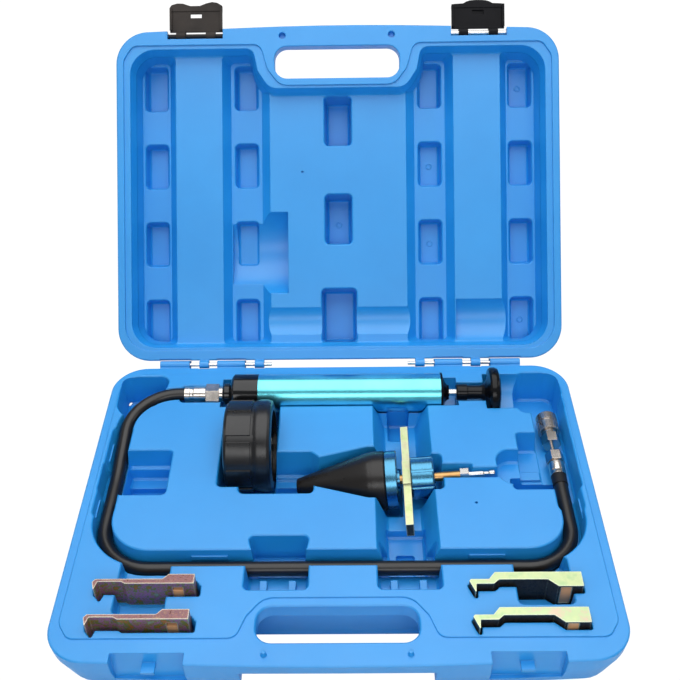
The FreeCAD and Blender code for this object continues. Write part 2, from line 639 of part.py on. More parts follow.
def lid_channel(mouth, floor, sign):
    """Cutter for one of the lid's channels, from its mouth's and its floor's (inner, outer) edges."""
    v0, v1 = CAVITY_V
    wires = []
    slope = LID_CHANNEL * math.tan(math.radians(CAVITY_DRAFT))
    for z, edges, inset in ((LID_RIM - LID_CHANNEL, floor, slope), (LID_RIM - PLATEAU, mouth, slope / 2),
                             (LID_RIM - PLATEAU + 1.0, mouth, slope / 2)):
        ends = sorted(sign * edge for edge in edges)
        wires.append(outline(box_points(ends[0], ends[1], v0 + inset, v1 - inset), z, 0.0, 4.0))
    return Part.makeLoft(wires, True, True)


def lid_cavity():
    """Cutters for the lid's plateaus, channels and dimples."""
    points = lid_cavity_points()
    slope = (LID_CHANNEL + 1.0) * math.tan(math.radians(CAVITY_DRAFT))
    reach = stack(points, ((LID_RIM - LID_CHANNEL - 1.0, slope), (LID_RIM, 0.0)), CAVITY_RADII)
    cuts = [lid_tub(points, PLATEAU, CAVITY_RADII, CAVITY_DRAFT)]
    for sign in (-1, 1):
        for mouth, floor in (OUTER_CHANNEL, INNER_CHANNEL):
            cuts.append(lid_channel(mouth, floor, sign).common(reach))
            x = sign * (floor[0] + floor[1]) / 2
            for k in range(1 + int((CAVITY_V[1] - DIMPLE_V0 - DIMPLE_L) // DIMPLE_PITCH)):
                low = DIMPLE_V0 + k * DIMPLE_PITCH
                cuts.append(lid_tub(box_points(x - DIMPLE_W / 2, x + DIMPLE_W / 2, low, low + DIMPLE_L),
                                    DIMPLE, 4.0, 5.0, mouth=LID_CHANNEL))
    for k, (length, half) in enumerate(PANEL_DIMPLES):
        low = DIMPLE_V0 + k * PANEL_PITCH
        if low + length > NOTCH_V - 3.0:
            break
        cuts.append(lid_tub(box_points(-half, half, low, low + length), DIMPLE, 4.0, 4.0, mouth=PLATEAU))
    return cuts


def lid_marks():
    """Small raised rings that the mould leaves on five of the dimples' floors."""
    inner = sum(INNER_CHANNEL[1]) / 2
    outer = sum(OUTER_CHANNEL[1]) / 2
    places = [(inner, 1), (inner, 2), (outer, 0), (outer, 3)]
    spots = [(x, DIMPLE_V0 + k * DIMPLE_PITCH + DIMPLE_L / 2) for x, k in places]
    spots.append((0.0, DIMPLE_V0 + PANEL_PITCH + 20.0))
    spots = [(x, v) for x, v in spots if v < CAVITY_V[1] - DIMPLE_L / 2]
    floor = LID_RIM - DIMPLE - 0.5
    rings = []
    for x, v in spots:
        ring = Part.makeCylinder(2.7, 1.0, Vector(x, v, floor), Z)
        rings.append(ring.cut(Part.makeCylinder(1.9, 2.0, Vector(x, v, floor - 0.5), Z)))
    return rings


def lid_saddles():
    """Cutters that clear the pump, the gauge and the plunger with the lid closed."""
    knob = (DISC_X[0] - 20.9, DISC_X[1] + 14.8)
    shapes = (
        rod(NECK_X0 - 2.0, HUB_X0 + 2.0, HEAD_R + 2.0, PUMP_Y, PUMP_Z),
        rod(knob[0], knob[1], DISC_R + 2.5, PUMP_Y, PUMP_Z),
        rod(GAUGE_X[0] - 6.5, GAUGE_X[1] + 6.9, BOOT_R + 2.1, GAUGE_Y, PUMP_Z),
    )
    return [from_closed(s) for s in shapes]


def lid_knuckle(x0, x1):
    """Hinge knuckle on the lid."""
    web = prism([(0.0, -KNUCKLE_R), (HINGE_OUT + 1.6, -KNUCKLE_R), (HINGE_OUT + 1.6, LID_RIM), (0.0, LID_RIM)],
                X, x0, x1)
    return fuse(rod(x0, x1, KNUCKLE_R), web)


def mirror_lid(points):
    """Plan points of the closed case as points of the lid's own frame, kept anticlockwise."""
    return tuple((x, HINGE_Y - y) for x, y in reversed(points))


def case_lid():
    """Moulded upper half: shell, cavity, saddles, hand hole, latch bays and hinge knuckles."""
    points = mirror_lid(case_points(FRONT, REAR))
    radii = tuple(reversed(CASE_RADII))
    back = LID_RIM - LID_H
    sections = ((back, WALL_TAPER + EDGE), (back + 0.3 * EDGE, WALL_TAPER + 0.3 * EDGE),
                (back + EDGE, WALL_TAPER), (LID_RIM - LIP, 0.0), (LID_RIM, LIP))
    shell = stack(points, sections, radii)
    knuckles = [lid_knuckle(s * a, s * b) if s > 0 else lid_knuckle(s * b, s * a)
                for s in (-1, 1) for a, b in LID_KNUCKLES]
    body = fuse(shell, *knuckles)
    side, rear, front = LAND_INSET
    seat = stack(mirror_lid(land_points(SIDE - side, REAR - rear, FRONT + front - 4.5)),
                 ((LID_RIM - LAND - 0.4, -0.3), (LID_RIM - 0.3, -0.3), (LID_RIM + 0.5, -1.1)),
                 tuple(reversed(LAND_RADII)))
    hole = from_closed(hand_hole(RIM, RIM + GRIP_T - 4.0))
    grip = from_closed(stack(box_points(-GRIP_X, GRIP_X, FRONT - 20.0, HANDLE_Y1 + 8.0),
                             ((RIM + GRIP_T - 4.0, 6.0), (RIM + GRIP_T + 1.0, 2.0),
                              (RIM + LID_H + OVERCUT + 1.0, 0.0)), 8.0))
    panel = from_closed(stack(box_points(42.5 - SIDE, SIDE - 42.5, FRONT + 80.0, REAR - 30.0),
                              ((RIM + LID_H + SEAL_GAP - 1.2, 1.2), (RIM + LID_H + SEAL_GAP, 0.0),
                               (RIM + LID_H + OVERCUT, 0.0)), 14.0))
    cuts = lid_cavity() + lid_saddles() + [seat, hole, grip, panel]
    cuts += [rod(s * 107.0 - 50.0, s * 107.0 + 50.0, PIN_R + HINGE_FIT) for s in (-1, 1)]
    cuts += [box(*sorted((s * (a - 0.7), s * (b + 0.7))), 0.0, HINGE_OUT + 1.5, LID_RIM - 3.0, 1.0)
             for s in (-1, 1) for a, b in BASE_KNUCKLES]
    for s in (-1, 1):
        bay = latch_bay(s, RIM - 2.0, RIM + LATCH_PIN_H + 7.5)
        cuts.append(from_closed(bay))
        half = LATCH_BAY / 2 + 3.0
        pin = rod(s * LATCH_X - half, s * LATCH_X + half, LATCH_PIN_R + 0.02, LATCH_PIN_Y, RIM + LATCH_PIN_H)
        cuts.append(from_closed(pin))
        hole = Part.makeCone(PEG_R + 0.8, PEG_R + 0.4, PEG_H + 1.0, Vector(s * PEG_X, PEG_Y, RIM), Z)
        cuts.append(from_closed(hole))
    cuts.append(Part.makeCylinder(1.0, 3.0, Vector(-31.6, 169.0, LID_RIM - PLATEAU - 2.0), Z))
    return fuse(body.cut(cuts), *lid_marks())


def latch_pin(sign):
    """Steel pin across a latch bay, in the closed case."""
    half = LATCH_BAY / 2 + 2.8
    return rod(sign * LATCH_X - half, sign * LATCH_X + half, LATCH_PIN_R, LATCH_PIN_Y, RIM + LATCH_PIN_H)


def latch(sign):
    """Moulded latch, drawn hanging down over the closed case; each side has its own finger lip."""
    x = sign * LATCH_X
    half = LATCH_W / 2
    pin_z = RIM + LATCH_PIN_H
    outer = LATCH_PIN_Y - LATCH_KNUCKLE_R
    inner = outer + LATCH_T
    tip = pin_z - LATCH_REACH
    plate = box(x - half, x + half, outer, inner, tip + 4.0, pin_z - 4.4)
    flanges = [box(x + s * half - (s + 1), x + s * half - (s - 1), outer, inner + 2.4, tip + 4.0, pin_z - 5.5)
               for s in (-1, 1)]
    knuckles = []
    for low, high in LATCH_KNUCKLES:
        knuckles.append(rod(x + low, x + high, LATCH_KNUCKLE_R, LATCH_PIN_Y, pin_z))
        knuckles.append(box(x + low, x + high, outer, LATCH_PIN_Y, pin_z - 5.5, pin_z))
    lip = latch_lip(sign, x, outer, tip)
    body = fuse(plate, *flanges, lip, *knuckles)
    slot_z = pin_z - LATCH_SLOT_S
    slot = box(x - LATCH_SLOT[0] / 2, x + LATCH_SLOT[0] / 2, outer + LATCH_SKIN[sign], inner + 2.0,
               slot_z - LATCH_SLOT[1] / 2, slot_z + LATCH_SLOT[1] / 2)
    bore = rod(x - half, x + half, LATCH_PIN_R + HINGE_FIT, LATCH_PIN_Y, pin_z)
    return body.cut([slot, bore])


def latch_lip(sign, x, outer, tip):
    """Finger lip along the latch's free edge: two humps on the left one, a dome on the right one."""
    half = LATCH_W / 2
    if sign < 0:
        line = ((-1.0, 3.0), (-0.93, 0.9), (-0.72, -0.5), (-0.5, -0.3), (-0.22, 1.9), (0.15, 1.9),
                (0.4, -0.3), (0.62, -1.4), (0.82, -0.6), (1.0, 2.0))
    else:
        line = ((-1.0, 4.6), (-0.9, 3.2), (-0.55, 2.8), (-0.45, 1.4), (-0.3, 0.3), (-0.1, -0.2), (0.1, -0.2),
                (0.3, 0.3), (0.45, 1.4), (0.55, 2.8), (0.9, 3.2), (1.0, 4.6))
    edge = [Vector(x + px * half, outer - 1.0, tip + pz) for px, pz in line]
    back = [Vector(x + half, outer - 1.0, tip + 6.5), Vector(x - half, outer - 1.0, tip + 6.5)]
    wire = Part.makePolygon(edge + back + edge[:1])
    return Part.Face(wire).extrude(Y * (LATCH_T + 1.6))


def latch_at_rest(sign):
    """Latch swung out level with the open lid."""
    swung = latch(sign)
    swung.rotate(Vector(0, LATCH_PIN_Y, RIM + LATCH_PIN_H), X, -90)
    return to_rest(from_closed(swung))


# ---------------------------------------------------------------- pump
def pump_head():
    """Black head with its neck, spigot, air passage and gauge port."""
    profile = (
        (NECK_X0, 0.0), (NECK_X0, NECK_R - 1.0), (NECK_X0 + 1.0, NECK_R), (HEAD_X0 - 3.0, NECK_R),
        (HEAD_X0, HEAD_R - 1.5), (HEAD_X0 + 1.5, HEAD_R), (BARREL[0], HEAD_R), (BARREL[0], BARREL_BORE_R - SPIGOT_FIT),
        (BARREL[0] + SPIGOT, BARREL_BORE_R - SPIGOT_FIT), (BARREL[0] + SPIGOT, 0.0),
    )
    body = turned(profile, PUMP_Y, PUMP_Z)
    passage = rod(NECK_X0 - 1.0, BARREL[0] + SPIGOT + 1.0, PORT_R, PUMP_Y, PUMP_Z)
    chamber = rod(HEAD_X0 + 2.0, BARREL[0] - CHAMBER_END, PORT_R + 1.6, PUMP_Y, PUMP_Z)
    thread = Part.makeCylinder(STEM_R + 0.02, 10.0, Vector(STEM_X, PUMP_Y - HEAD_R - 1.0, PUMP_Z), Y)
    port = Part.makeCylinder(PORT_R - 1.0, 14.0, Vector(STEM_X, PUMP_Y - HEAD_R, PUMP_Z), Y)
    return body.cut([passage, chamber, thread, port])


def pump_end_cap():
    """Flared black cap that guides the rod."""
    flare = [(BARREL[1] + 1.5 + t * (CAP_TIP_X - BARREL[1] - 1.5), 6.0 + (HEAD_R - 6.0) * (1 - t) ** 2.2)
             for t in (0.0, 0.12, 0.28, 0.5, 0.75, 1.0)]
    profile = [(BARREL[1] - SPIGOT, 0.0), (BARREL[1] - SPIGOT, BARREL_BORE_R - SPIGOT_FIT),
               (BARREL[1], BARREL_BORE_R - SPIGOT_FIT), (BARREL[1], HEAD_R)] + flare + [(CAP_TIP_X, 0.0)]
    body = turned(profile, PUMP_Y, PUMP_Z)
    return body.cut(rod(BARREL[0], HUB_X0 + 5.0, ROD_R + ROD_FIT, PUMP_Y, PUMP_Z))


def pump_parts():
    """Barrel, head, cap and the check valve inside the head."""
    barrel = rod(BARREL[0], BARREL[1], BARREL_R, PUMP_Y, PUMP_Z).cut(
        rod(BARREL[0] - 1.0, BARREL[1] + 1.0, BARREL_BORE_R, PUMP_Y, PUMP_Z))
    ball_r = PORT_R + 0.6
    seat = BARREL[0] - CHAMBER_END
    ball = Part.makeSphere(ball_r, Vector(seat - math.sqrt(ball_r ** 2 - PORT_R ** 2) - 0.02, PUMP_Y, PUMP_Z))
    return {
        "pump_barrel": barrel,
        "pump_head": pump_head(),
        "pump_end_cap": pump_end_cap(),
        "check_valve_ball": ball,
    }


def plunger_parts():
    """Rod, piston, seal, retaining nut and knob."""
    stem = rod(PISTON[0] - 5.0, HUB_X0 + 12.0, ROD_R, PUMP_Y, PUMP_Z)
    piston_r = BARREL_BORE_R - PISTON_FIT
    groove = (PISTON[0] + PISTON[1]) / 2
    deep = BARREL_BORE_R - 0.06 - 2 * SEAL_R
    profile = ((PISTON[0], ROD_R + 0.02), (PISTON[0], piston_r), (groove - SEAL_R, piston_r),
               (groove - SEAL_R, deep), (groove + SEAL_R, deep), (groove + SEAL_R, piston_r),
               (PISTON[1], piston_r), (PISTON[1], ROD_R + 0.02))
    seal = Part.makeTorus(BARREL_BORE_R - 0.06 - SEAL_R, SEAL_R - 0.02, Vector(groove, PUMP_Y, PUMP_Z), X)
    nut = hexagon(PISTON[0] - 4.0, PISTON[0], 9.0, PUMP_Y, PUMP_Z).cut(
        rod(PISTON[0] - 6.0, PISTON[0] + 1.0, ROD_R + 0.02, PUMP_Y, PUMP_Z))
    d0, d1 = DISC_X
    knob = turned((
        (HUB_X0, 0.0), (HUB_X0, HUB_R - 0.8), (HUB_X0 + 0.8, HUB_R), (HUB_X0 + 9.0, HUB_R),
        (HUB_X0 + 9.6, HUB_R - 1.0), (d0 - 6.0, HUB_R - 1.0), (d0 - 3.0, HUB_R + 0.4), (d0 - 1.0, HUB_R + 3.5),
        (d0, HUB_R + 8.0), (d0 + 0.6, DISC_R - 1.6), (d0 + 2.0, DISC_R - 0.2), (d0 + 3.4, DISC_R),
        (d1 - 4.0, DISC_R), (d1 - 1.6, DISC_R - 1.0), (d1 - 0.2, DISC_R - 4.0), (d1, 0.0),
    ), PUMP_Y, PUMP_Z)
    return {
        "piston_rod": stem,
        "pump_piston": turned(profile, PUMP_Y, PUMP_Z),
        "piston_seal": seal,
        "piston_nut": nut,
        "pump_knob": knob.cut(rod(HUB_X0 - 1.0, HUB_X0 + 12.0, ROD_R + 0.02, PUMP_Y, PUMP_Z)),
    }


# ---------------------------------------------------------------- gauge
def gauge_boot():
    """Rubber boot with raised pads round its back part and a smooth front ring."""
    back, front = GAUGE_X
    ring = front - 12.5
    skin = BOOT_R - 1.3
    inner = GAUGE_R - 3.0
    profile = (
        (back, GAUGE_R * 0.5), (back, skin - 4.0), (back + 1.2, skin - 1.2), (back + 4.0, skin),
        (ring - 1.2, skin), (ring, BOOT_R - 0.6), (ring + 3.0, BOOT_R), (front - 4.0, BOOT_R),
        (front - 1.0, BOOT_R - 1.2), (front, BOOT_R - 3.6), (front, inner),
        (front - 3.0, inner), (front - 3.0, GAUGE_R + 0.1), (GAUGE_BACK - 0.1, GAUGE_R + 0.1),
        (GAUGE_BACK - 0.1, GAUGE_R * 0.5),
    )
    body = turned(profile, GAUGE_Y, PUMP_Z)
    pads = []
    for k in range(PAD_COUNT):
        pad = box(back + 3.0, ring - 3.0, GAUGE_Y - 8.5, GAUGE_Y + 8.5, PUMP_Z + GAUGE_R + 1.0, PUMP_Z + BOOT_R + 1.0)
        pad = pad.common(rod(back, ring, BOOT_R - 0.3, GAUGE_Y, PUMP_Z))
        pad.rotate(Vector(0, GAUGE_Y, PUMP_Z), X, (k + 0.5) * 360.0 / PAD_COUNT)
        pads.append(pad)
    neck = Part.makeCylinder(STEM_R + 2.4, 60.0, Vector(STEM_X, GAUGE_Y, PUMP_Z), Y)
    return fuse(body, *pads).cut(neck)


def gauge_parts():
    """Gauge from its boot to its pointer."""
    front = LENS_X + LENS_T
    case = turned((
        (GAUGE_BACK, 0.0), (GAUGE_BACK, GAUGE_R - 1.0), (GAUGE_BACK + 1.0, GAUGE_R), (LENS_X, GAUGE_R),
        (LENS_X, GAUGE_R - 1.0), (GAUGE_BACK + 1.0, GAUGE_R - 1.0), (GAUGE_BACK + 1.0, 0.0),
    ), GAUGE_Y, PUMP_Z)
    hole = Part.makeCylinder(STEM_R + 0.02, 60.0, Vector(STEM_X, GAUGE_Y, PUMP_Z), Y)
    stem_y0 = GAUGE_Y + GAUGE_R - 8.0
    stem_y1 = PUMP_Y - HEAD_R + 9.0
    stem = Part.makeCylinder(STEM_R, stem_y1 - stem_y0, Vector(STEM_X, stem_y0, PUMP_Z), Y)
    flats = box(STEM_X - 7.5, STEM_X + 7.5, GAUGE_Y + BOOT_R + 0.4, PUMP_Y - HEAD_R - 0.3, PUMP_Z - 6.8, PUMP_Z + 6.8)
    socket = box(STEM_X - 5.0, STEM_X + 5.0, stem_y0 - 8.0, stem_y0, PUMP_Z - 5.0, PUMP_Z + 5.0)
    stem = fuse(stem, flats, socket).cut(
        Part.makeCylinder(1.2, stem_y1, Vector(STEM_X, stem_y0 - 4.0, PUMP_Z), Y))
    movement = rod(STEM_X - 4.0, DIAL_X - 3.5, 12.0, GAUGE_Y, PUMP_Z)
    posts = [rod(DIAL_X - 4.0, DIAL_X - 0.8, 1.5, GAUGE_Y + a, PUMP_Z) for a in (-9.0, 9.0)]
    movement = fuse(movement, *posts, box(STEM_X - 4.0, STEM_X + 4.0, GAUGE_Y, stem_y0 - 8.0, PUMP_Z - 4.0, PUMP_Z + 4.0))
    shaft_hole = rod(STEM_X - 2.0, LENS_X, 1.25, GAUGE_Y, PUMP_Z)
    turns = [math.radians(a) for a in (12.0, 135.0, 262.0)]
    arc = Part.Arc(*[Vector(STEM_X, GAUGE_Y + 20.0 * math.cos(a), PUMP_Z + 20.0 * math.sin(a)) for a in turns])
    edge = arc.toShape()
    tube_path = Part.Wire([edge])
    first = edge.FirstParameter
    tube_section = Part.Wire([Part.makeCircle(2.0, edge.valueAt(first), edge.tangentAt(first))])
    tube = tube_path.makePipeShell([tube_section], True, True).cut(socket)
    dial = rod(DIAL_X - 0.8, DIAL_X, GAUGE_R - 1.15, GAUGE_Y, PUMP_Z).cut(shaft_hole)
    bezel = turned((
        (LENS_X + 0.05, GAUGE_R - 3.2), (LENS_X + 0.05, GAUGE_R), (front + 0.8, GAUGE_R), (front + 0.8, GAUGE_R - 3.2),
    ), GAUGE_Y, PUMP_Z)
    lens_groove = rod(LENS_X, front, GAUGE_R - 1.6, GAUGE_Y, PUMP_Z)
    lens = rod(LENS_X + 0.1, front, GAUGE_R - 1.65, GAUGE_Y, PUMP_Z)
    hand = prism([(GAUGE_Y - 0.9, PUMP_Z - 9.0), (GAUGE_Y + 0.9, PUMP_Z - 9.0), (GAUGE_Y + 0.35, PUMP_Z + 23.0),
                  (GAUGE_Y - 0.35, PUMP_Z + 23.0)], X, DIAL_X + 1.2, DIAL_X + 1.8)
    hub = rod(DIAL_X + 0.8, DIAL_X + 2.6, 3.0, GAUGE_Y, PUMP_Z)
    shaft = rod(STEM_X, DIAL_X + 1.0, 1.2, GAUGE_Y, PUMP_Z)
    pointer = fuse(hand, hub, shaft)
    pointer.rotate(Vector(0, GAUGE_Y, PUMP_Z), X, -135)
    return {
        "gauge_boot": gauge_boot(),
        "gauge_case": case.cut(hole),
        "gauge_stem": stem,
        "gauge_movement": movement.cut(shaft_hole),
        "gauge_bourdon_tube": tube,
        "gauge_dial": dial,
        "gauge_bezel": bezel.cut(lens_groove),
        "gauge_lens": lens,
        "gauge_pointer": pointer,
    }


# ---------------------------------------------------------------- hose and coupler
def hose_parts():
    """Swivel nut, ferrule and hose."""
    nut = hexagon(SWIVEL[0], SWIVEL[1] - 3.0, 2 * SWIVEL_R, PUMP_Y, PUMP_Z)
    collar = rod(SWIVEL[1] - 3.0, SWIVEL[1], SWIVEL_R * 0.86, PUMP_Y, PUMP_Z)
    ferrule = turned((
        (FERRULE[0], HOSE_R + 0.05), (FERRULE[0], FERRULE_R), (FERRULE[0] + 4.0, FERRULE_R),
        (FERRULE[0] + 5.0, FERRULE_R - 0.6), (FERRULE[0] + 7.0, FERRULE_R - 0.6), (FERRULE[0] + 8.0, FERRULE_R),
        (FERRULE[1], FERRULE_R), (FERRULE[1], 0.0), (FERRULE[1] - 2.8, 0.0), (FERRULE[1] - 2.8, HOSE_R + 0.05),
    ), PUMP_Y, PUMP_Z)
    path = route(hose_points(), HOSE_RADII)
    section = Part.Wire([Part.makeCircle(HOSE_R, hose_points()[0], X)])
    hose = path.makePipeShell([section], True, False)
    exact = math.pi * HOSE_R ** 2 * path.Length
    print("hose length %.1f, volume %.1f of %.1f, bends %s" % (path.Length, hose.Volume, exact, HOSE_RADII))
    return {
        "swivel_nut": fuse(nut, collar),
        "hose_ferrule": ferrule,
        "pressure_hose": hose,
    }


def along_y(shape):
    """Turns a shape built along X from the origin to run along +Y from the coupler's seat."""
    placed = shape.copy()
    placed.rotate(Vector(0, 0, 0), Z, 90)
    placed.translate(Vector(COUPLER_X, COUPLER_Y, COUPLER_Z))
    return placed


def coupler_parts():
    """Quick coupler at the hose's free end."""
    cover = HOSE_R + 0.05
    bore = rod(CUP, COUPLER_COLLAR[1] + 1.0, 1.0)
    clamp = turned(((-END_SLEEVE, cover), (-END_SLEEVE, cover + 0.5), (-1.0, cover + 0.5), (0.0, cover + 0.5),
                    (0.0, cover)))
    cup = turned(((0.0, cover), (0.0, cover + 0.9), (3.0, cover + 0.9), (4.0, cover + 0.3), (5.0, cover + 0.9),
                  (CUP, cover + 0.9), (CUP + 1.2, 4.4), (COUPLER_NUT[0], 4.4), (COUPLER_NUT[0], 1.0),
                  (CUP - 2.0, 1.0), (CUP - 2.0, cover)))
    nut = hexagon(COUPLER_NUT[0], COUPLER_NUT[1], 12.6)
    stem = rod(COUPLER_NUT[1], COUPLER_COLLAR[0], 1.5)
    collar = hexagon(COUPLER_COLLAR[0], COUPLER_COLLAR[1], 13.0)
    s0, s1 = SLEEVE_X
    middle = (s0 + s1) / 2 + 0.6
    end = s1 + 1.4
    seat = COUPLER_COLLAR[1]
    body = turned(((seat, 1.0), (seat, 5.6), (s0 - SLEEVE_TRAVEL - 0.1, 5.6), (s0 - SLEEVE_TRAVEL - 0.1, 6.4),
                   (end, 6.4), (end, SOCKET_R + 1.0), (end - 1.0, SOCKET_R), (SOCKET_X0, SOCKET_R), (SOCKET_X0, 1.0)))
    sleeve = turned(((s0, 6.46), (s0, 7.8), (s0 + 0.9, 8.6), (middle - 0.9, 8.6), (middle - 0.6, 7.5),
                     (middle + 0.6, 7.5), (middle + 0.9, 8.6), (s1 - 0.9, 8.6), (s1, 7.8), (s1, 6.46)))
    knurl = [box(s0 - 1.0, s1 + 1.0, -0.35, 0.35, 8.1, 9.5) for _ in range(24)]
    for k, groove in enumerate(knurl):
        groove.rotate(Vector(0, 0, 0), X, k * 15.0)
    return {
        "hose_end_sleeve": along_y(clamp),
        "coupler_ferrule": along_y(cup),
        "coupler_nut": along_y(nut.cut(bore)),
        "coupler_stem": along_y(stem.cut(bore)),
        "coupler_collar": along_y(collar.cut(bore)),
        "coupler_body": along_y(body),
        "coupler_sleeve": along_y(sleeve.cut(knurl)),
    }


# ---------------------------------------------------------------- adapter
def on_adapter(shape):
    """Moves a shape built along X from the cone's large end to the adapter's axis."""
    placed = shape.copy()
    placed.rotate(Vector(0, 0, 0), Y, -AD_TILT)
    placed.translate(Vector(AD_X, AD_Y, AD_Z))
    return placed


def knurled_nut():
    """Blue drum nut with shallow flats round its rim, for grip."""
    body = turned(((NUT[0], 0.0), (NUT[0], NUT_R - 1.2), (NUT[0] + 0.5, NUT_R - 0.4), (NUT[0] + 1.4, NUT_R),
                   (NUT[1] - 2.0, NUT_R), (NUT[1] - 0.7, NUT_R - 0.6), (NUT[1], NUT_R - 2.0), (NUT[1], 0.0)))
    sides = []
    for k in range(NUT_LOBES):
        flat = Part.makeCylinder(2.6, NUT[1] - NUT[0] + 4.0, Vector(NUT[0] - 2.0, 0, NUT_R + 2.0), X)
        flat.rotate(Vector(0, 0, 0), X, (k + 0.5) * 360.0 / NUT_LOBES)
        sides.append(flat)
    return body.cut(sides + [rod(NUT[0] - 1.0, NUT[1] + 1.0, THREAD_R + 0.06)])


def adapter_parts():
    """Cone seal, stem, discs, clamp bar, nut and connector."""
    core = THREAD_R + 0.05
    cone = turned(((CONE_TIP[0], core), (CONE_TIP[0], CONE_TIP[1] - 0.8), (CONE_TIP[0] + 0.8, CONE_TIP[1]),
                   (-6.0, CONE_R - 0.8), (0.0, CONE_R), (CONE_LAND - 0.8, CONE_R), (CONE_LAND, CONE_R - 0.8),
                   (CONE_LAND, core)))
    stem = rod(CONE_TIP[0] + 2.0, THREAD_END, THREAD_R).cut(rod(CONE_TIP[0], THREAD_END + 1.0, 1.4))
    disc = turned(((PRESS_DISC[0], core), (PRESS_DISC[0], PRESS_DISC_R - 0.6), (PRESS_DISC[0] + 0.6, PRESS_DISC_R),
                   (PRESS_DISC[1] - 0.6, PRESS_DISC_R), (PRESS_DISC[1], PRESS_DISC_R - 0.6), (PRESS_DISC[1], core)))
    collar = rod(COLLAR[0], COLLAR[1], COLLAR_R).cut(rod(COLLAR[0] - 1.0, COLLAR[1] + 1.0, core))
    half = BAR_LENGTH / 2
    bar = box(BAR[0], BAR[1], -half, half, -BAR_TALL / 2, BAR_TALL / 2)
    boss = box(BAR[0] - 0.3, BAR[1], -BOSS_LENGTH / 2, BOSS_LENGTH / 2, -BAR_TALL / 2 - 1.6, BAR_TALL / 2 + 1.6)
    bar = fuse(bar, boss).cut(rod(BAR[0] - 2.0, BAR[1] + 1.0, THREAD_R + 0.3))
    hexa = hexagon(HEX[0], HEX[1], 2 * HEX_R).cut(rod(HEX[0] - 1.0, HEX[1] + 1.0, 1.4))
    groove = (NIPPLE[0] + NIPPLE_PLAIN, NIPPLE[1] - 4.0)
    nipple = turned(((NIPPLE[0], 1.4), (NIPPLE[0], NIPPLE_R), (groove[0], NIPPLE_R),
                     (groove[0] + 1.0, NIPPLE_R - 0.7), (groove[1] - 1.0, NIPPLE_R - 0.7),
                     (groove[1], NIPPLE_R), (NIPPLE[1] - 0.5, NIPPLE_R), (NIPPLE[1], NIPPLE_R - 0.5),
                     (NIPPLE[1], 1.4)))
    shapes = {
        "cone_seal": cone,
        "threaded_stem": stem,
        "pressure_disc": disc,
        "stem_collar": collar,
        "clamp_bar": bar,
        "knurled_nut": knurled_nut(),
        "stem_hex": hexa,
        "connector_nipple": nipple,
    }
    return {name: on_adapter(shape) for name, shape in shapes.items()}


# ---------------------------------------------------------------- claws
def claw_parts():
    """Four claws, each with a window for the clamp bar and a copper insert in it."""
    parts = {}
    for name, (points, x, y, proud, _) in CLAWS.items():
        placed = [(x + px, y + py) for px, py in points]
        top = RIM + proud
        z0 = top - CLAW_H
        window_down, insert_down = CLAW_FACE[name.split("_")[1]]
        body = stack(placed, ((z0, 0.0), (top, 0.0)), 0.4)
        end = x + points[0][0]
        x1 = end - CLAW_WINDOW_END
        x0 = x1 - CLAW_WINDOW
        window = box(x0, x1, y - 30.0, y + 10.0, z0 + 5.0, top - window_down)
        back = y + points[0][1]
        front = y + points[-1][1]
        insert = box(x0 + INSERT_FIT, x1 - INSERT_FIT, front + 0.15, back - 0.4, z0 + 5.0 + INSERT_FIT,
                     top - insert_down)
        parts["claw_" + name] = body.cut(window)
        parts["claw_insert_" + name] = insert
    return parts


def main():
    """Builds every node and writes its STEP file."""
    os.makedirs("parts", exist_ok=True)
    parts = {"case_base": case_base(), "case_lid": to_rest(case_lid())}
    for side, sign in (("left", -1), ("right", 1)):
        a, b = HINGE_PIN
        ends = (sign * a, sign * b)
        parts["hinge_pin_" + side] = rod(min(ends), max(ends), PIN_R, HINGE_Y, HINGE_Z)
        parts["latch_pin_" + side] = to_rest(from_closed(latch_pin(sign)))
        parts["latch_" + side] = latch_at_rest(sign)
    parts.update(pump_parts())
    parts.update(plunger_parts())
    parts.update(gauge_parts())
    parts.update(hose_parts())
    parts.update(coupler_parts())
    parts.update(adapter_parts())
    parts.update(claw_parts())
    for node, shape in parts.items():
        save(node, shape)
    print(len(parts), "nodes")


main()
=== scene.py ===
"""Radiator pressure tester kit in its open carry case: camera, light, finishes and detailed pieces."""

import json
import math

import bmesh
import bpy
import numpy as np
from mathutils import Matrix, Vector


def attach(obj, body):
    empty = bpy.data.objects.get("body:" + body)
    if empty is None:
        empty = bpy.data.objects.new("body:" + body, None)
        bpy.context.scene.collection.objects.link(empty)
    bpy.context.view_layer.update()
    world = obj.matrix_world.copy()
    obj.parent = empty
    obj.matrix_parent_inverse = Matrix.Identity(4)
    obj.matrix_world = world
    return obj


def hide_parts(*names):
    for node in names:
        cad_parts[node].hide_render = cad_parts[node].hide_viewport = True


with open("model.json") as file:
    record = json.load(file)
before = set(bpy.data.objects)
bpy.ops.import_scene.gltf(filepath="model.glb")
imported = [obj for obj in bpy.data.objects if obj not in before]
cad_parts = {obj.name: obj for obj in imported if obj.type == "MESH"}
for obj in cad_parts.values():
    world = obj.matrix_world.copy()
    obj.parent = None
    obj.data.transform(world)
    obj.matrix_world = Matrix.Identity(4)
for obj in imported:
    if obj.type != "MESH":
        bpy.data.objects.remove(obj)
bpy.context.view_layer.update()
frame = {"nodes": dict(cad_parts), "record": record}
NODES = frame["nodes"]
BODY_OF = {node: body for body, nodes in frame["record"]["behaviour"]["bodies"].items() for node in nodes}

MM = 0.001
WHITE = (1.0, 1.0, 1.0, 1.0)

